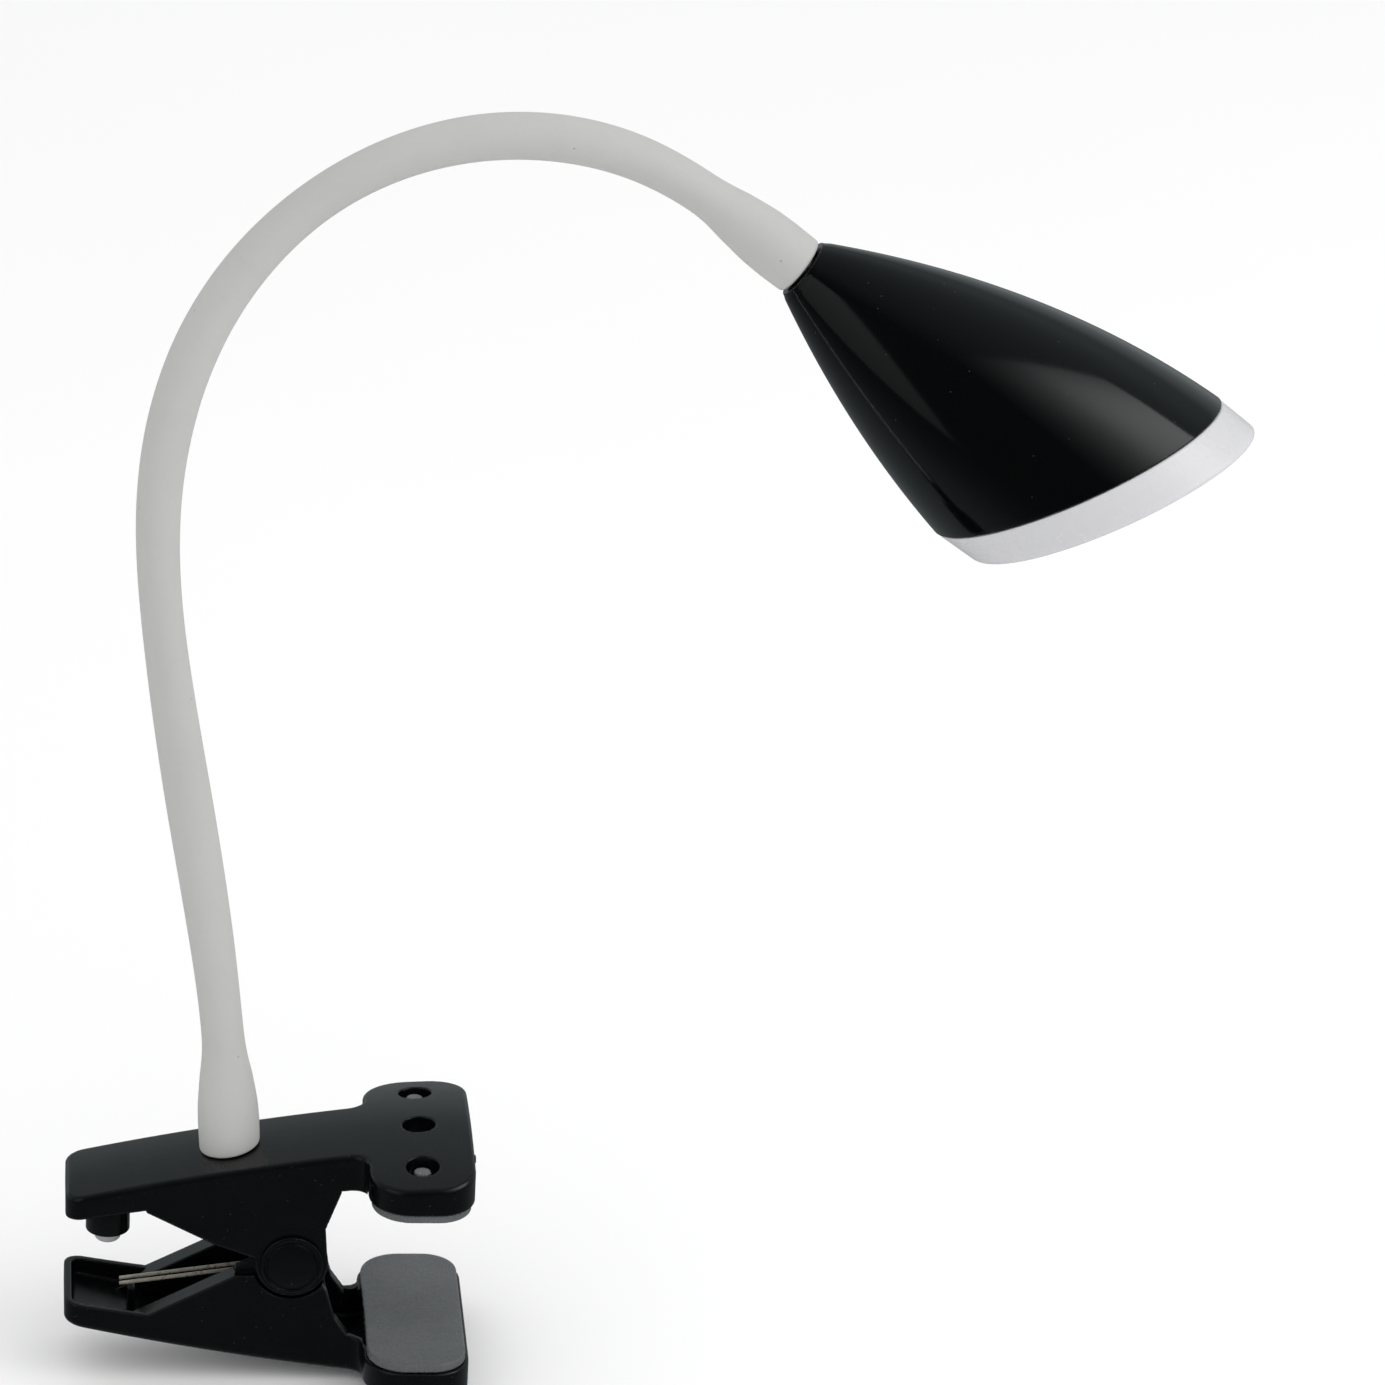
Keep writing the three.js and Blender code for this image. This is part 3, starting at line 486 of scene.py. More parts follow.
def rounded(points, radius):
    """A profile with its corners turned into arcs; points may carry their own radius."""
    pts = [np.array(p[:2], float) for p in points]
    radii = [p[2] if len(p) > 2 else radius for p in points]
    made = [pts[0]]
    for before, here, after, size in zip(pts, pts[1:], pts[2:], radii[1:]):
        a, b = before - here, after - here
        la, lb = np.linalg.norm(a), np.linalg.norm(b)
        a, b = a / la, b / lb
        half = math.acos(np.clip(a @ b, -1, 1)) / 2
        if size <= 0 or half > math.radians(88):
            made.append(here)
            continue
        cut = min(size / math.tan(half), 0.48 * la, 0.48 * lb)
        r = cut * math.tan(half)
        centre = here + (a + b) / np.linalg.norm(a + b) * r / math.sin(half)
        start, end = here + a * cut - centre, here + b * cut - centre
        sweep = math.atan2(start[0] * end[1] - start[1] * end[0], start @ end)
        for k in range(ARC_STEPS + 1):
            c, s = math.cos(sweep * k / ARC_STEPS), math.sin(sweep * k / ARC_STEPS)
            made.append(centre + np.array([c * start[0] - s * start[1],
                                           s * start[0] + c * start[1]]))
    return np.array([*made, pts[-1]])


def turned(name, profile, place, axis, look, sides, radius=0.25):
    """Solid of revolution about an axis square to x, from (radius, height) points that start
    and end on the axis."""
    outline = rounded(profile, radius)[1:-1, :, None, None]
    axis = np.array(axis, float)
    across = np.array([1.0, 0, 0])
    angles = full_turn(sides)[:, None]
    around = np.cos(angles) * across + np.sin(angles) * np.cross(axis, across)
    rows = np.array(place) + outline[:, 1] * axis + outline[:, 0] * around
    return swept(name, rows, look, sharp=None)


# ---- signed distance fields: negative inside, in millimetres ----
def round_join(a, b, r):
    """Union whose inside corner has a fillet of radius r."""
    u = np.maximum(r - a, 0)
    v = np.maximum(r - b, 0)
    return np.maximum(r, np.minimum(a, b)) - np.sqrt(u * u + v * v)


def round_common(a, b, r):
    """Intersection whose edge is rounded with radius r."""
    u = np.maximum(r + a, 0)
    v = np.maximum(r + b, 0)
    return np.minimum(-r, np.maximum(a, b)) + np.sqrt(u * u + v * v)


def round_cut(a, b, r):
    return round_common(a, -b, r)


def rounded_box(x, y, cx, cy, hx, hy, r):
    """Rectangle in two coordinates with round corners; r may differ for -x and +x."""
    corner = np.where(x < cx, r[0], r[1]) if isinstance(r, tuple) else r
    qx = np.abs(x - cx) - hx + corner
    qy = np.abs(y - cy) - hy + corner
    outside = np.hypot(np.maximum(qx, 0), np.maximum(qy, 0))
    return np.minimum(np.maximum(qx, qy), 0) + outside - corner


def between(value, low, high):
    return np.maximum(low - value, value - high)


def polygon(x, z, corners):
    """Distance to a polygon in x and z."""
    best = np.full(x.shape, 1e9)
    inside = np.ones(x.shape)
    for (ax, az), (bx, bz) in zip(corners, corners[-1:] + corners[:-1]):
        ex, ez = bx - ax, bz - az
        wx, wz = x - ax, z - az
        share = np.clip((wx * ex + wz * ez) / (ex * ex + ez * ez), 0, 1)
        best = np.minimum(best, (wx - ex * share) ** 2 + (wz - ez * share) ** 2)
        above, below, side = z >= az, z < bz, ex * wz > ez * wx
        crossing = (above & below & side) | (~above & ~below & ~side)
        inside = np.where(crossing, -inside, inside)
    return inside * np.sqrt(best)


def plate_top(x, y):
    along = x - ARCH_X
    bend = np.where(along < 0, ARCH_HANDLE, ARCH_JAW)
    return ARCH_Z + ARCH_SLOPE * along - bend * along * along - y * y / (2 * CROWN_RADIUS)


def rim_height(x):
    share = np.minimum((x - HANDLE_END) / (ARCH_X - HANDLE_END), 1)
    depth = SKIRT_HANDLE + (SKIRT_ARCH - SKIRT_HANDLE) * share
    return np.where(x > SKIRT_STEP, JAW_RIM, plate_top(x, ARM_HALF) - depth)


def arm_outline(x, y):
    """The T-shaped outline seen from above, with fillets where arm and jaw meet."""
    length = SKIRT_STEP + 4 - HANDLE_END
    middle = HANDLE_END + length / 2
    handle = rounded_box(x, y, middle, 0, length / 2, ARM_HALF, (5.0, 0.01))
    jaw = rounded_box(x, y, 0, 0, JAW_HALF_X, JAW_HALF_Y, (JAW_BACK_R, JAW_FRONT_R))
    return round_join(handle, jaw, 4.5)


def arm_shell(x, y, z):
    outline = arm_outline(x, y)
    slope = 1 / np.sqrt(1 + (ARCH_SLOPE + 0.1) ** 2)
    top = (z - plate_top(x, y)) * slope
    rim = (rim_height(x) - z) * slope
    outside = round_common(round_common(outline, top, 1.3), rim, 0.45)
    inside = round_common(outline + WALL, top + WALL, 1.2)
    return round_cut(outside, inside, 0.35)


JAW_HOLES = (-PEG_SPACING, 0, PEG_SPACING)


def jaw_holes(x, y, z):
    rings = [np.hypot(x, y - c) - JAW_HOLE_R for c in JAW_HOLES]
    return np.maximum(np.minimum.reduce(rings), 5 - z)


def jaw_sockets(x, y, z):
    """Short tubes under the jaw's holes that the pad's pegs stand in."""
    rings = [between(np.hypot(x, y - c), JAW_HOLE_R - 0.3, JAW_HOLE_R + 1.1) for c in JAW_HOLES]
    return np.maximum(np.minimum.reduce(rings), between(z, 5.7, plate_top(x, y) - 1))


def around_pivot(radius, degrees):
    turn = math.radians(degrees)
    return (PIVOT_X + radius * math.cos(turn), PIVOT_Z + radius * math.sin(turn))


def pivot_disc(x, z, radius):
    return np.hypot(x - PIVOT_X, z - PIVOT_Z) - radius


def pierced(body, x, y, z):
    """The arm with sockets and holes in its jaw and the hole for the pin; z as in the upper arm."""
    body = round_join(body, jaw_sockets(x, y, z), 0.3)
    body = round_cut(body, jaw_holes(x, y, z), 0.4)
    return round_cut(body, pivot_disc(x, z, PIN_R + 0.15), 0.15)


FOOT_AXIS = np.array([math.sin(FOOT_TILT), 0, math.cos(FOOT_TILT)])


def along_foot(x, y, z):
    """Height above the foot and distance from the neck's axis there."""
    h = (x - FOOT[0]) * FOOT_AXIS[0] + (z - FOOT[2]) * FOOT_AXIS[2]
    across = (x - FOOT[0]) * FOOT_AXIS[2] - (z - FOOT[2]) * FOOT_AXIS[0]
    return h, np.hypot(across, y)


def upper_arm_field(p):
    x, y, z = p.T
    rim = float(rim_height(np.float64(-72)))
    corners = [(-21, 5), (-70, -2), (-72.3, rim - 0.5), (-53.9, -15.6), around_pivot(CHEEK_R, 172),
               around_pivot(CHEEK_R, 15), (-24.6, -10.9), (-20.7, -0.2)]
    cheek = np.minimum(polygon(x, z, corners), pivot_disc(x, z, CHEEK_R))
    cheek = round_common(cheek, between(np.abs(y), ARM_HALF - WALL, ARM_HALF), 0.4)
    body = np.minimum(arm_shell(x, y, z), cheek)

    ring = between(np.hypot(x - SWITCH_X, y), SWITCH_R + FIT, SWITCH_R + 1.7)
    under = plate_top(x, y) - 1
    body = np.minimum(body, round_common(ring, between(z, -6.5, under), 0.25))

    h, r = along_foot(x, y, z)
    seat = np.maximum(np.maximum(r - SEAT_R, -SEAT_DEPTH - h), z - plate_top(x, y) + 0.5)
    body = round_join(body, seat, 0.5)
    body = round_cut(body, np.maximum(r - STUD_HOLE_R, np.abs(h) - 12), 0.2)

    window = np.maximum(between(x, -16, -9), between(y, -25.2, -22.2))
    body = round_cut(body, np.maximum(window, between(z, 4, 7.6)), 0.25)
    nib = np.maximum(between(x, JAW_HALF_X - 0.6, JAW_HALF_X + 0.8), between(y, -11, -9))
    body = round_join(body, round_common(nib, between(z, 7, 9), 0.3), 0.3)
    return pierced(body, x, y, z)


def lower_arm_field(p):
    x, y, z = p.T
    up = 2 * PIVOT_Z - z
    body = arm_shell(x, -y, up)
    rim = 2 * PIVOT_Z - float(rim_height(np.float64(-71.5)))
    tail = [(-17.8, -43.2), (-19, -47.5), (-70, -39.5), (-71.5, rim)]
    front = [(-24.1, -29.3), (-21.5, -37.9)]
    step_x = -48.4
    inner = polygon(x, z, [*tail, (step_x, -24.9), (step_x, -22.9), around_pivot(9, 175),
                           around_pivot(9, -20), *front])
    inner = np.minimum(inner, pivot_disc(x, z, LOWER_CHEEK_R))
    layer = INNER_CHEEK + WALL
    body = np.minimum(body, round_common(inner, between(np.abs(y), INNER_CHEEK, layer), 0.4))
    recess = CHEEK_R + 0.7
    outer = polygon(x, z, [*tail, (step_x, -24.9), around_pivot(recess, 200),
                           around_pivot(recess, 322), *front])
    outer = np.maximum(outer, -pivot_disc(x, z, recess))
    body = np.minimum(body, round_common(outer, between(np.abs(y), layer - 0.4, ARM_HALF), 0.4))
    web = polygon(x, z, [(step_x, -42.9), (-80, -41.8), (-80, -41.2), tail[3], (step_x, -24.9)])
    web = round_common(web, between(np.abs(y), INNER_WEB, layer), 0.4)
    body = np.minimum(body, web)
    rib = np.maximum(between(x, -76.5, -74.5), np.abs(y) - 2.4)
    body = round_join(body, round_common(rib, between(z, -43, -34.9), 0.3), 0.3)
    return pierced(body, x, -y, up)


def jaw_outline(x, y, inset):
    return rounded_box(x, y, 0, 0, JAW_HALF_X - inset, JAW_HALF_Y - inset,
                       (JAW_BACK_R - inset, JAW_FRONT_R - inset))


def pad_field(p):
    x, y, z = p.T
    plate = round_common(jaw_outline(x, y, 0.9), between(z, 0, JAW_RIM - 0.1), 0.5)
    plug = round_common(jaw_outline(x, y, WALL + FIT), between(z, 1, 5.4), 0.6)
    body = np.minimum(plate, plug)
    for centre in (-PEG_SPACING, PEG_SPACING):
        peg = round_common(np.hypot(x, y - centre) - PEG_R, between(z, 5, PEG_TOP), 0.5)
        body = round_join(body, peg, 0.4)
    return body


def lower_pad_field(p):
    return pad_field(p * np.array([1, -1, -1]) + np.array([0, 0, 2 * PIVOT_Z]))


BLOCK = 8


def sampled(field, low, high, step):
    """Grid values of a field; blocks far from the surface only get a sign."""
    low = np.array(low, float)
    cells = np.ceil((np.array(high) - low) / step / BLOCK).astype(int)
    grid = np.empty(tuple(cells * BLOCK), np.float32)
    starts = np.stack(np.meshgrid(*[np.arange(n) for n in cells], indexing="ij"), -1)
    starts = starts.reshape(-1, 3) * BLOCK
    middles = low + (starts + (BLOCK - 1) / 2) * step
    near = field(middles)
    reach = BLOCK * step * math.sqrt(3) / 2 * 1.6
    offsets = np.stack(np.meshgrid(*[np.arange(BLOCK)] * 3, indexing="ij"), -1).reshape(-1, 3)
    close = np.abs(near) < reach
    for (i, j, k), value in zip(starts[~close], near[~close]):
        grid[i:i + BLOCK, j:j + BLOCK, k:k + BLOCK] = value
    busy = starts[close]
    for first in range(0, len(busy), 400):
        some = busy[first:first + 400]
        at = (some[:, None, :] + offsets[None]).reshape(-1, 3)
        grid[at[:, 0], at[:, 1], at[:, 2]] = field(low + at * step)
    return grid, low


def gradient(field, points, h=0.02):
    shifts = np.eye(3) * h
    slopes = [field(points + s) - field(points - s) for s in shifts]
    return np.stack(slopes, 1) / (2 * h)


def net(field, low, high, step):
    """Surface net of a field's zero level, with points moved onto it and exact normals."""
    grid, low = sampled(field, low, high, step)
    inside = grid < 0
    shape = np.array(grid.shape) - 1
    total = np.zeros((*shape, 3), np.float32)
    hits = np.zeros(tuple(shape), np.int32)
    crossings = []
    for axis in range(3):
        here = tuple(slice(0, -1) if k == axis else slice(None) for k in range(3))
        after = tuple(slice(1, None) if k == axis else slice(None) for k in range(3))
        at = np.argwhere(inside[here] != inside[after])
        a, b = grid[here][tuple(at.T)], grid[after][tuple(at.T)]
        place = at.astype(np.float32)
        place[:, axis] += a / (a - b)
        u, v = np.delete(np.eye(3, dtype=int), axis, 0)
        cells = [at - i * u - j * v for i in (0, 1) for j in (0, 1)]
        for cell in cells:
            good = ((cell >= 0) & (cell < shape)).all(1)
            np.add.at(total, tuple(cell[good].T), place[good])
            np.add.at(hits, tuple(cell[good].T), 1)
        crossings.append((cells, inside[here][tuple(at.T)] == (axis == 1)))
    used = hits > 0
    ids = np.full(hits.shape, -1, np.int64)
    ids[used] = np.arange(used.sum())
    points = low + total[used] / hits[used][:, None] * step
    quads = []
    for cells, flip in crossings:
        ring = [ids[tuple(np.clip(cells[k], 0, shape - 1).T)] for k in (0, 2, 3, 1)]
        quad = np.stack(ring, 1)
        quad[flip] = quad[flip][:, ::-1]
        quads.append(quad)
    quads = np.vstack(quads)
    for _ in range(3):
        slope = gradient(field, points)
        size = np.maximum((slope * slope).sum(1), 0.25)
        move = -(field(points) / size)[:, None] * slope
        length = np.linalg.norm(move, axis=1, keepdims=True)
        points = points + move * np.minimum(1, 0.5 * step / np.maximum(length, 1e-9))
    normals = gradient(field, points)
    normals /= np.maximum(np.linalg.norm(normals, axis=1, keepdims=True), 1e-9)
    return points, quads, normals


def moulded(name, field, node, look, step):
    """Fine piece of a field over a CAD node's own box."""
    low, high = (np.array(c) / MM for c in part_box(node))
    margin = 2.5 * step
    points, quads, normals = net(field, low - margin, high + margin, step)
    return make_piece(name, points, quads.tolist(), look, normals=normals)


# ---- neck course ----
def unit(v):
    return v / np.linalg.norm(v)


def hermite(t, a, slope_a, b, slope_b):
    """Points at shares t of the way from a to b, with the slopes given at both."""
    return ((2 * t ** 3 - 3 * t * t + 1) * a + (t ** 3 - 2 * t * t + t) * slope_a
            + (3 * t * t - 2 * t ** 3) * b + (t ** 3 - t * t) * slope_b)


LEAN_UP = np.array([0, math.sin(LEAN), math.cos(LEAN)])
ACROSS = np.array([0, -math.cos(LEAN), math.sin(LEAN)])
SHADE_AXIS = math.cos(SHADE_DROP) * np.array([1, 0, 0]) - math.sin(SHADE_DROP) * LEAN_UP
HEAD_UP = math.sin(SHADE_DROP) * np.array([1, 0, 0]) + math.cos(SHADE_DROP) * LEAN_UP
HEAD_SIDE = np.cross(HEAD_UP, SHADE_AXIS)
HINGE_NAMES = [f"neck_{kind}_{n}" for n in (1, 2, 3, 4) for kind in ("bend", "side")]
HEAD_END_X, HEAD_END_Z = 93.4, 243.6
LEAN_FOOT = 38.0                # the leaning line meets the foot's upright plane at this height
HEAD_END = np.array([HEAD_END_X, math.tan(LEAN) * (HEAD_END_Z - LEAN_FOOT), HEAD_END_Z])
STATIONS = np.array([FOOT, *(np.array(JOINTS[n]["pos_m"]) / MM for n in HINGE_NAMES), HEAD_END])


def station_slopes(spans):
    """Slopes at the stations of the smoothest curve from the foot's axis to the shade's."""
    count = len(STATIONS)
    rows = np.eye(count)
    right = np.zeros((count, 3))
    right[0], right[-1] = FOOT_AXIS, SHADE_AXIS
    for k in range(1, count - 1):
        a, b = spans[k - 1], spans[k]
        rows[k, k - 1:k + 2] = 1 / a, 2 / a + 2 / b, 1 / b
        right[k] = 3 * ((STATIONS[k] - STATIONS[k - 1]) / a ** 2
                        + (STATIONS[k + 1] - STATIONS[k]) / b ** 2)
    return np.linalg.solve(rows, right)


SPANS = np.linalg.norm(np.diff(STATIONS, axis=0), axis=1)
SLOPES = station_slopes(SPANS)


def link_points(k, count=100):
    """Points along the course from one station to the next."""
    t = np.linspace(0, 1, count)[:, None]
    return hermite(t, STATIONS[k], SPANS[k] * SLOPES[k], STATIONS[k + 1],
                   SPANS[k] * SLOPES[k + 1])


LINKS = [link_points(k) for k in range(HINGES + 1)]
LENGTHS = [np.linalg.norm(np.diff(p, axis=0), axis=1).sum() for p in LINKS]
STARTS = np.concatenate([[0], np.cumsum(LENGTHS)])
NECK_LENGTH = STARTS[-1]
COURSE = np.vstack([LINKS[0], *(p[1:] for p in LINKS[1:])])
COURSE_S = np.concatenate([[0], np.cumsum(np.linalg.norm(np.diff(COURSE, axis=0), axis=1))])


def course_at(s):
    """Points, tangents and the two section axes at distances s from the foot."""
    s = np.atleast_1d(np.asarray(s, float))
    inner = np.clip(s, 0, NECK_LENGTH)
    point = np.stack([np.interp(inner, COURSE_S, COURSE[:, k]) for k in range(3)], 1)
    ahead = np.clip(inner + 0.8, 0, NECK_LENGTH)
    behind = np.clip(inner - 0.8, 0, NECK_LENGTH)
    tangent = np.stack([np.interp(ahead, COURSE_S, COURSE[:, k])
                        - np.interp(behind, COURSE_S, COURSE[:, k]) for k in range(3)], 1)
    tangent /= np.linalg.norm(tangent, axis=1, keepdims=True)
    point += tangent * (s - inner)[:, None]
    side = ACROSS - (tangent @ ACROSS)[:, None] * tangent
    side /= np.linalg.norm(side, axis=1, keepdims=True)
    return point, tangent, np.cross(tangent, side), side


NECK_RING = 48
NECK_STEP = 1.5
OVAL = 0.3                      # the pressed-on sleeve is a little oval, and its oval turns
OVAL_TURN = 116.0               # millimetres of neck in half a turn of the oval
OVAL_FROM = 92.0
THETA = full_turn(NECK_RING)


def tube_rows(s, radius, oval=0.0):
    """Rings round the course; s and radius may be one per row or one per point."""
    s = np.broadcast_to(np.asarray(s, float).reshape(len(s), -1), (len(s), NECK_RING))
    radius = np.broadcast_to(np.asarray(radius, float).reshape(len(s), -1), s.shape)
    point, _, up, side = course_at(s.reshape(-1))
    turn = math.pi * (s - OVAL_FROM) / OVAL_TURN
    swell = radius + oval * np.cos(2 * (THETA[None] - turn))
    c = (swell * np.cos(THETA)).reshape(-1, 1)
    d = (swell * np.sin(THETA)).reshape(-1, 1)
    return (point + c * up + d * side).reshape(len(s), NECK_RING, 3)


def smooth_share(value, low, high):
    t = np.clip((value - low) / (high - low), 0, 1)
    return t * t * (3 - 2 * t)


CUFF_PROFILE = [(0, 8.0), (8, 8.15), (13, 8.0), (16, 7.7), (19.5, 7.25), (22, 6.95), (24.5, 6.5),
                (27, 6.15), (30.5, 5.9), (40, 5.85)]
CUFF_SOFTENING = np.linspace(-1.4, 1.4, 7)


def neck_radius(s):
    """Radius along the neck: each cuff is a short cylinder that runs out into the sleeve."""
    heights, radii = zip(*CUFF_PROFILE)
    h = np.minimum(s, NECK_LENGTH - np.asarray(s, float))
    return np.mean([np.interp(h + d, heights, radii) for d in CUFF_SOFTENING], axis=0)


def neck_oval(s):
    return OVAL * smooth_share(np.minimum(s, NECK_LENGTH - s), 22, 36)


def plate_gap(theta):
    """Distance s along the foot axis where each cuff line meets the clip's crowned top."""
    s = np.zeros(len(theta))
    _, tangent, up, side = course_at(0.0)
    for _ in range(20):
        at = (FOOT + s[:, None] * tangent + CUFF_R * np.cos(theta)[:, None] * up
              + CUFF_R * np.sin(theta)[:, None] * side)
        s += plate_top(at[:, 0], at[:, 1]) + FIT - at[:, 2]
    return s


def middle(k):
    return (STARTS[k] + STARTS[k + 1]) / 2


def rows_between(a, b, step=NECK_STEP):
    return np.linspace(a, b, max(3, int(round((b - a) / step)) + 1))


def base_sleeve():
    """The lower cuff, cut to the clip's crowned top, and the sleeve up to mid link."""
    low = plate_gap(THETA)
    top = middle(0)
    edge = 0.7
    turn = quarter(6)
    rows = [low + edge * (1 - math.cos(a)) for a in turn]
    radii = [np.full(NECK_RING, neck_radius(0.0) - edge * (1 - math.sin(a))) for a in turn]
    for share in np.linspace(0, 1, 26)[1:]:
        s = low + edge + (top - low - edge) * share
        rows.append(s)
        radii.append(neck_radius(s))
    outside = tube_rows(np.array(rows), np.array(radii), neck_oval(np.array(rows)))
    inner_s = np.array([top, SOCKET_DEPTH + 1.5, SOCKET_DEPTH - 1])
    inner_r = np.array([BORE_R, BORE_R, SOCKET_R])
    inside = tube_rows(inner_s, inner_r)
    mouth = tube_rows(np.array([low]), np.full((1, NECK_RING), SOCKET_R))
    return swept("neck_foot", np.concatenate([outside, inside, mouth]), "silicone", loop=True)


def head_sleeve():
    """The sleeve from mid link and the upper cuff, whose end is domed against the shade."""
    start = middle(HINGES)
    end = NECK_LENGTH - 0.3
    edge = 1.1
    s = rows_between(start, end - edge, 1.2)
    radius = neck_radius(s)
    turn = quarter(6)[1:]
    s = np.concatenate([s, end - edge * (1 - np.sin(turn))])
    radius = np.concatenate([radius, neck_radius(0.0) - edge * (1 - np.cos(turn))])
    outside = tube_rows(s, radius, neck_oval(s)[:, None])
    inner_s = np.array([end, end - SOCKET_DEPTH + 1, end - SOCKET_DEPTH - 1.5, start])
    inner_r = np.array([SOCKET_R, SOCKET_R, BORE_R, BORE_R])
    inside = tube_rows(inner_s, inner_r)
    return swept("neck_head", np.concatenate([outside, inside]), "silicone", loop=True)


def pipe(name, a, b, outer, inner, look, oval=0.0):
    s = rows_between(a, b)
    outside = tube_rows(s, np.broadcast_to(outer, s.shape), oval)
    if inner:
        inside = tube_rows(s[::-1], np.full(len(s), inner))
        return swept(name, np.concatenate([outside, inside]), look, loop=True)
    return swept(name, outside, look)


def bends(piece, k, *nodes):
    """Bake the piece's place into its mesh and hide these CAD nodes."""
    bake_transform(piece)
    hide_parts(*nodes)


def neck():
    rides(base_sleeve(), "base", "sleeve_0")
    rides(head_sleeve(), "head", "sleeve_8")
    for k in range(1, HINGES + 1):
        a, b = middle(k - 1), middle(k)
        s = rows_between(a, b)
        sleeve = pipe(f"neck_sleeve_{k}", a, b, neck_radius(s), BORE_R, "silicone",
                      neck_oval(s)[:, None])
        bends(sleeve, k, f"sleeve_{min(k, HINGES - 1)}")
        core = pipe(f"neck_core_{k}", a, b, CORE_R, CORE_BORE_R, "core_steel")
        bends(core, k, f"core_{min(k, HINGES - 1)}")
        bends(pipe(f"neck_lead_{k}", a, b, LEAD_R, 0, "lead_white"), k)
    low = pipe("neck_core_foot", CRIMP, middle(0), CORE_R, CORE_BORE_R, "core_steel")
    rides(low, "base", "core_0")
    high = pipe("neck_core_head", middle(HINGES), NECK_LENGTH - CRIMP, CORE_R, CORE_BORE_R,
                "core_steel")
    rides(high, "head", "core_8")


# ---- wires ----
def smooth_path(points, per_span=10):
    """Centripetal-like smooth path through given points."""
    p = np.array(points, float)
    p = np.vstack([2 * p[0] - p[1], p, 2 * p[-1] - p[-2]])
    made = []
    for a, b, c, d in zip(p, p[1:], p[2:], p[3:]):
        la, lb, lc = (math.sqrt(max(np.linalg.norm(v), 1e-6)) for v in (b - a, c - b, d - c))
        m1 = (c - b) + lb * ((b - a) / la - (c - a) / (la + lb))
        m2 = (c - b) + lb * ((d - c) / lc - (d - b) / (lb + lc))
        t = np.linspace(0, 1, per_span, endpoint=False)[:, None]
        made.append(hermite(t, b, m1, c, m2))
    return np.vstack([*made, p[-2]])


def wire(name, path, radius, look, ring=12):
    """Round wire along a path, with slightly rounded cut ends."""
    path = np.asarray(path, float)
    tangent = np.gradient(path, axis=0)
    tangent /= np.linalg.norm(tangent, axis=1, keepdims=True)
    normal = np.cross(tangent[0], (0, 0, 1) if abs(tangent[0][2]) < 0.9 else (1, 0, 0))
    angles = full_turn(ring)[:, None]
    circles = []
    for t in tangent:
        normal = unit(normal - normal @ t * t)
        circles.append(np.cos(angles) * normal + np.sin(angles) * np.cross(t, normal))
    rings = [p + radius * c for p, c in zip(path, circles)]
    rings[0] = path[0] + tangent[0] * 0.25 * radius + radius * circles[0]
    rings[-1] = path[-1] - tangent[-1] * 0.25 * radius + radius * circles[-1]
    cut_r = 0.72 * radius
    rings = [path[0] + cut_r * circles[0], *rings, path[-1] + cut_r * circles[-1]]
    return swept(name, rings, look, sharp=60)


def torsion_spring():
    """One wire: free end, near coil, bail under the upper handle, far coil, free end."""
    half = [(-78.7, -LEG_Y, -33.9), (-62, -LEG_Y, -31.5), (-46, -LEG_Y, -29.2)]
    per_turn = 16
    count = int(COIL_TURNS * per_turn)
    for i in range(count + 1):
        turn = -math.pi / 2 + 2 * math.pi * i / per_turn
        y = -LEG_Y - (BAIL_Y - LEG_Y) * i / count
        half.append((PIVOT_X + COIL_R * math.cos(turn), y, PIVOT_Z + COIL_R * math.sin(turn)))
    half += [(-47, -BAIL_Y, -9.6), (-62.5, -BAIL_Y, -2), (-66.2, -BAIL_Y + 2.4, -0.2), (-66.6, 0, 0)]
    other = [(x, -y, z) for x, y, z in half[-2::-1]]
    spring = wire("spring_wire", smooth_path(half + other, 4), WIRE_R, "spring_steel")
    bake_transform(spring)
    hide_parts("torsion_spring")


def button_coil():
    low, high = SWITCH_BOTTOM + 3.3, SWITCH_BOTTOM + 6.8
    turns = np.linspace(0, 2 * math.pi * 2, 33)
    path = np.stack([SWITCH_X + 2.6 * np.cos(turns), 2.6 * np.sin(turns),
                     np.linspace(low, high, len(turns))], 1)
    coil = wire("button_coil", path, 0.25, "spring_steel", 8)
    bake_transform(coil)
    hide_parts("button_spring")


def lead_ends():
    """The lead's two ends: switch to mid link 0, and mid link 8 into the shade."""
    low = [(SWITCH_X, 0, -6.6), (-74, 0, -8.2), (-62, 0, -10.2), (-54, 0, -11.4)]
    low += [tuple(FOOT + FOOT_AXIS * h) for h in (-13.5, -8, 0)]
    inside = course_at(np.array([8.0, 16.0, middle(0)]))[0]
    path = smooth_path([*low, *inside], 10)
    rides(wire("lead_foot", path, LEAD_R, "lead_white"), "base", "lead")
    inside = course_at(np.array([middle(HINGES), NECK_LENGTH - 14, NECK_LENGTH - 4]))[0]
    high = [HEAD_END + SHADE_AXIS * t + HEAD_UP * n for t, n in ((4, 0), (12, 0), (30, 2),
                                                                 (50, -2), (66, 4))]
    rides(wire("lead_head", smooth_path([*inside, *high], 10), LEAD_R, "lead_white"), "head")


# ---- clip ----
ARM_STEP = 0.52                 # fineness of the moulded meshes
PAD_STEP = 0.45


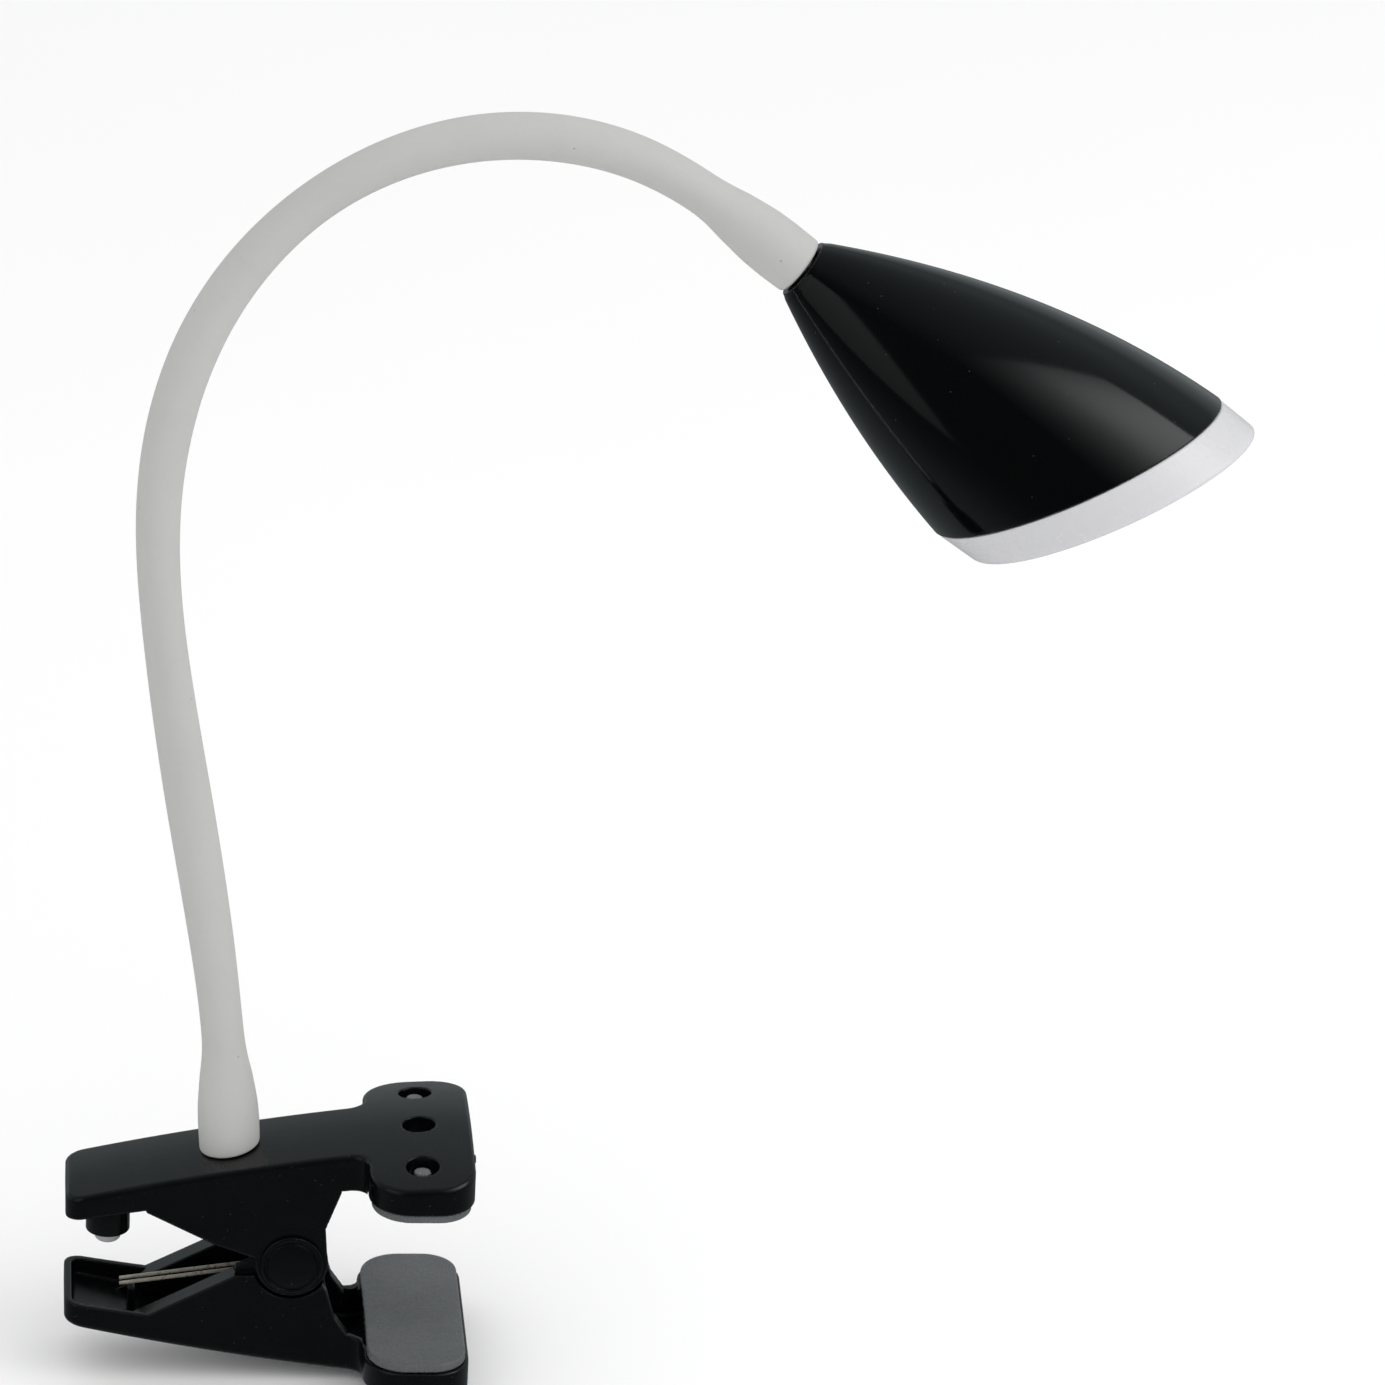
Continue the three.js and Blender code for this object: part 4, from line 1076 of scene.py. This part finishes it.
def clip():
    for name, field, node, body in (("clip_upper", upper_arm_field, "upper_arm", "base"),
                                    ("clip_lower", lower_arm_field, "lower_arm", "lower_arm"),
                                    ("pad_upper", pad_field, "upper_pad", "base"),
                                    ("pad_lower", lower_pad_field, "lower_pad", "lower_arm")):
        soft = name.startswith("pad")
        look, step = ("soft_pad", PAD_STEP) if soft else ("satin_black", ARM_STEP)
        rides(moulded(name, field, node, look, step), body, node)
    pivot = np.array([PIVOT_X, 0, PIVOT_Z])
    for name, side in (("near", -1), ("far", 1)):
        near = ARM_HALF + 0.1
        far = near + CAP_THICK
        profile = [(0, near + 0.6), (PIN_R + 0.15, near + 0.6, 0), (PIN_R + 0.15, near, 0),
                   (CAP_R, near, 0.15), (CAP_R, far - 0.1, 0.45), (CAP_R - 0.9, far, 0.3),
                   (CAP_R - 1.1, far - 0.45, 0.12), (CAP_R - 1.75, far - 0.45, 0.12),
                   (CAP_R - 1.95, far, 0.3), (2.4, far + 0.12, 2), (0, far + 0.12)]
        cap = turned(f"cap_{name}", profile, pivot, (0, side, 0), "satin_black", 96, 0.2)
        rides(cap, "base", f"pivot_cap_{name}")
    end = ARM_HALF + 0.5
    pin = [(0, -end), (PIN_R, -end, 0.3), (PIN_R, end, 0.3), (0, end)]
    rides(turned("pin", pin, pivot, (0, 1, 0), "spring_steel", 40), "base", "pivot_pin")


def switch():
    place = np.array([SWITCH_X, 0, 0])
    up = (0, 0, 1)
    top = float(plate_top(np.float64(SWITCH_X - SWITCH_R), 0)) - WALL - FIT
    floor = SWITCH_BOTTOM + 1.5
    hole = BUTTON_R + 0.2
    barrel = [(0, top - 1.5), (SWITCH_BORE, top - 1.5, 0), (SWITCH_BORE, floor, 0),
              (hole, floor, 0.1), (hole, SWITCH_BOTTOM, 0.25), (SWITCH_R, SWITCH_BOTTOM, 0.4),
              (SWITCH_R, top, 0.2), (0, top)]
    rides(turned("switch_case", barrel, place, up, "satin_black", 72), "base", "switch_barrel")
    low = SWITCH_BOTTOM - BUTTON_OUT
    collar = SWITCH_BOTTOM + 1.7
    dome = [(BUTTON_R * math.sin(a), low + 1.8 * (1 - math.cos(a)), 0)
            for a in quarter(12)]
    button = [*dome, (BUTTON_R, collar, 0.1), (4.3, collar, 0.1), (4.3, collar + 1.2, 0.1),
              (1, collar + 1.2, 0), (1, collar + 2.9, 0.1), (0, collar + 2.9)]
    rides(turned("button_cap", button, place, up, "grey_button", 56), "button", "switch_button")


# ---- head ----
def shade_radius(t):
    return SHADE_R0 + SHADE_FLARE * t - SHADE_BEND * t * t


MOUTH_OUT = math.cos(MOUTH_TILT) * SHADE_AXIS - math.sin(MOUTH_TILT) * HEAD_UP
MOUTH_LONG = math.sin(MOUTH_TILT) * SHADE_AXIS + math.cos(MOUTH_TILT) * HEAD_UP
MOUTH_WIDE = np.cross(MOUTH_OUT, MOUTH_LONG)
MOUTH_AT = HEAD_END + SHADE_AXIS * MOUTH_T + HEAD_UP * MOUTH_N
HEAD_RING = 144
HEAD_THETA = full_turn(HEAD_RING)


def mouth_depth(inset, back):
    """Where each line of the shade, drawn in by inset, meets the mouth plane moved back."""
    slope = math.tan(MOUTH_TILT)
    flat = MOUTH_T - slope * MOUTH_N - back / math.cos(MOUTH_TILT)
    t = np.full(HEAD_RING, MOUTH_T)
    for _ in range(60):
        t = flat + slope * (shade_radius(t) - inset) * np.cos(HEAD_THETA)
    return t


def shade_ring(t, r):
    """Ring about the shade's axis; t and r are one value or one per point."""
    t, r = (np.broadcast_to(v, (HEAD_RING,)) for v in (t, r))
    return (HEAD_END + t[:, None] * SHADE_AXIS + (r * np.cos(HEAD_THETA))[:, None] * HEAD_UP
            + (r * np.sin(HEAD_THETA))[:, None] * HEAD_SIDE)


def shade():
    """Slant-cut cone with a rolled rim, a thin wall and an open neck."""
    neck_t, neck_edge, edge = 0.4, 0.5, 0.35
    throat_t, bore = 4.0, CORE_R + 0.4
    rows = [shade_ring(throat_t, bore), shade_ring(neck_t, bore)]
    for a in quarter(5)[::-1]:
        rows.append(shade_ring(neck_t + neck_edge * (1 - math.sin(a)),
                               shade_radius(neck_t) - neck_edge * (1 - math.cos(a))))
    start = neck_t + neck_edge
    rim = mouth_depth(0, edge)
    for share in np.linspace(0, 1, 70)[1:]:
        t = start + (rim - start) * share
        rows.append(shade_ring(t, shade_radius(t)))
    for a in quarter(5)[1:]:
        inset = edge * (1 - math.cos(a))
        t = mouth_depth(inset, edge * (1 - math.sin(a)))
        rows.append(shade_ring(t, shade_radius(t) - inset))
    inner = mouth_depth(SHADE_WALL, 0)
    for share in np.linspace(1, 0, 36):
        t = throat_t + (inner - throat_t) * share
        rows.append(shade_ring(t, np.maximum(shade_radius(t) - SHADE_WALL, bore + 0.2)))
    rides(swept("shade_shell", rows, "gloss_black", loop=True, flip=True), "head", "shade")


def at_mouth(x, y, z):
    """Points x and y along the mouth's axes and z out of it, drifting along the shade with z."""
    z = np.broadcast_to(z, np.shape(x))
    x = x + math.tan(MOUTH_TILT) * z
    return MOUTH_AT + x[:, None] * MOUTH_LONG + y[:, None] * MOUTH_WIDE + z[:, None] * MOUTH_OUT


def wall_depth(x, y, inset):
    """Depth behind the mouth where a drifting line meets the shade's drawn-in wall."""
    z = np.full(np.shape(x), -20.0)
    for _ in range(60):
        at = at_mouth(x, y, z) - HEAD_END
        radius = np.hypot(at @ HEAD_UP, at @ HEAD_SIDE)
        z = z - 0.7 * (shade_radius(at @ SHADE_AXIS) - inset - radius)
    return z


def screw_posts():
    """The three posts inside the shade that the carrier is screwed to; they lean with it and
    end inside its wall."""
    turn = full_turn(28)
    front, hole = -9.0, 1.35
    for n, degrees in enumerate(SCREW_ANGLES, 1):
        a = math.radians(degrees)
        x, y = SCREW_SPREAD * math.cos(a), SCREW_SPREAD * math.sin(a) * MOUTH_B / MOUTH_A

        def ring(radius, z=None):
            px, py = x + radius * np.cos(turn), y + radius * np.sin(turn)
            return at_mouth(px, py, wall_depth(px, py, 1.0) if z is None else z)

        rows = [ring(POST_R), ring(POST_R, front - 0.3), ring(POST_R - 0.3, front),
                ring(hole + 0.15, front), ring(hole, front - 0.15), ring(hole, front - 7)]
        rides(swept(f"screw_post_{n}", rows, "satin_black"), "head")


def diffuser():
    """Opal cap: a skirt that leans along the shade, a rounded edge and a faintly domed face."""
    def ring(inset, z, grow=1.0):
        scale = grow * (1 - 0.01 * max(z, 0) / DIFFUSER_H)
        return at_mouth((MOUTH_A - inset) * scale * np.cos(HEAD_THETA),
                        (MOUTH_B - inset) * scale * np.sin(HEAD_THETA), z)

    back, top, low, edge = -4.8, FIT, DIFFUSER_H - 0.15, 1.1
    rows = [ring(4, back), ring(4, top), ring(0.45, top), ring(0.25, top + 0.2)]
    rows += [ring(0.2, z) for z in np.linspace(top + 0.45, low - edge, 14)]
    for a in quarter(9)[1:]:
        rows.append(ring(0.2 + edge * (1 - math.cos(a)), low - edge * (1 - math.sin(a))))
    rim = 1 - (0.2 + edge) / MOUTH_A
    for share in np.linspace(1, 0.02, 22)[1:]:
        rows.append(ring(0, low + 0.15 * (1 - share * share), rim * share))
    rows += [ring(0, DIFFUSER_H - 1.8, share) for share in np.linspace(0.02, 0.84, 8)]
    rows += [ring(5.6, z) for z in (DIFFUSER_H - 2.2, 3, -2, back)]
    rides(swept("diffuser_cap", rows, "opal", loop=True), "head", "diffuser")


# ---- inner metal and electric parts keep their CAD shape ----
CAD_LOOKS = {f"{end}_{kind}": "zinc_plate" for end in ("base", "head")
             for kind in ("ferrule", "washer", "nut")}
CAD_LOOKS.update({"switch_contacts": "board_white", "led_carrier": "aluminium",
                  "led_board": "board_white"})
CAD_LOOKS.update({f"led_{n}": "led_yellow" for n in range(1, 7)})
CAD_LOOKS.update({f"carrier_screw_{n}": "zinc_plate" for n in range(1, 4)})


def dress_cad():
    for name, look in CAD_LOOKS.items():
        node = frame["nodes"][name]
        node.data.materials.clear()
        node.data.materials.append(LOOKS[look])
        bevel = node.modifiers.new("edge", "BEVEL")
        bevel.width = 0.12 * MM
        bevel.segments = 2
        bevel.limit_method = "ANGLE"
        bevel.angle_limit = math.radians(40)


# ---- stage and light ----
def floor():
    level, size = CAD_BOX[0].z - 0.0005, 6.0
    mesh = bpy.data.meshes.new("floor")
    corners = [(x * size, y * size, level) for x, y in ((-1, -1), (1, -1), (1, 1), (-1, 1))]
    mesh.from_pydata(corners, [], [(0, 1, 2, 3)])
    look = Look("floor", (0.95, 0.95, 0.95), 0.8)
    look.colour(look.mix(look.noise(3, 3), (0.94, 0.94, 0.94), (0.96, 0.96, 0.96)))
    mesh.materials.append(look.material)
    plane = placed("floor", mesh)
    plane.visible_glossy = False


ROOM = 0.86                     # brightness of the white room that lights matte surfaces


def studio_world():
    """A white room. Glossy surfaces see it dimmed: dark in front, paler behind and below."""
    world = bpy.data.worlds.new("studio")
    bpy.context.scene.world = world
    world.use_nodes = True
    nodes = Nodes(world.node_tree)
    split = nodes.node("ShaderNodeSeparateXYZ")
    nodes.link(nodes.node("ShaderNodeTexCoord").outputs["Generated"], split.inputs[0])
    height, depth = split.outputs["Z"], split.outputs["Y"]
    front = nodes.ramp(height, [(-0.8, 0.2), (-0.5, 0.08), (-0.3, 0.05), (0.0, 0.04), (0.7, 0.04),
                                (0.95, 0.13)], -1, 1)
    back = nodes.ramp(height, [(-0.8, 0.22), (-0.3, 0.11), (0.0, 0.40), (0.34, 0.36), (0.46, 0.25),
                               (0.62, 0.33), (0.95, 0.27)], -1, 1)
    seen = nodes.mix(nodes.ramp(depth, [(-0.35, 0), (0.3, 1)], -1, 1, True), front, back)
    seen = nodes.mix(1.0, seen, (0.9, 1.0, 1.03), "MULTIPLY")
    path = nodes.node("ShaderNodeLightPath")
    room = nodes.ramp(height, [(-1, 0.88 * ROOM), (0, 0.96 * ROOM), (1, 1.2 * ROOM)], -1, 1)
    tone = nodes.mix(path.outputs["Is Glossy Ray"], room, seen)
    tone = nodes.mix(path.outputs["Is Camera Ray"], tone, (0.98, 0.98, 0.98))
    nodes.link(tone, world.node_tree.nodes["Background"].inputs["Color"])


def faded(light, across, along):
    """Dim an area light towards its edges by stops over its two directions, from 0 to 1."""
    light.data.use_nodes = True
    nodes = Nodes(light.data.node_tree)
    split = nodes.node("ShaderNodeSeparateXYZ")
    nodes.link(nodes.node("ShaderNodeNewGeometry").outputs["Parametric"], split.inputs[0])
    u = nodes.ramp(split.outputs["X"], across, smooth=True)
    v = nodes.ramp(split.outputs["Y"], along, smooth=True)
    tone = nodes.mix(1.0, u, v, "MULTIPLY")
    nodes.link(tone, light.data.node_tree.nodes["Emission"].inputs["Color"])


HEAD_MIDDLE = Vector((0.150, 0.025, 0.220))
LIGHT_DISTANCE = 1.4


def soft_box(name, azimuth, elevation, width, height, radiance, top=None):
    """Area light aimed at the head from a direction in degrees; its top edge runs along top."""
    a, e = math.radians(azimuth), math.radians(elevation)
    away = Vector((math.cos(e) * math.cos(a), math.cos(e) * math.sin(a), math.sin(e)))
    data = bpy.data.lights.new(name, "AREA")
    data.shape = "RECTANGLE"
    data.size, data.size_y = width, height
    data.energy = radiance * math.pi * width * height
    light = placed(name, data)
    light.location = HEAD_MIDDLE + away * LIGHT_DISTANCE
    light.rotation_euler = (-away).to_track_quat("-Z", "Y").to_euler()
    if top is not None:
        x = Vector(top) - Vector(top).dot(away) * away
        x.normalize()
        light.rotation_euler = Matrix((x, away.cross(x), away)).transposed().to_euler()
    return light


def studio():
    bpy.context.scene.view_settings.view_transform = "Standard"
    studio_world()
    key = soft_box("key", -42, 38, 2.0, 1.4, 2.0, top=(0.61, 0.785, 0.09))
    faded(key, [(0.0, 0.0), (0.22, 0.08), (0.42, 0.35), (0.58, 0.85), (0.75, 1.0)],
          [(0.1, 0.8), (0.72, 1.0), (0.88, 0.7), (1.0, 0.2)])
    fill = soft_box("fill", -145, 10, 0.85, 1.3, 0.42)
    faded(fill, [(0.0, 1.0), (1.0, 1.0)], [(0.0, 0.3), (1.0, 1.0)])


neck()
torsion_spring()
button_coil()
lead_ends()
clip()
switch()
shade()
screw_posts()
diffuser()
dress_cad()
floor()
studio()
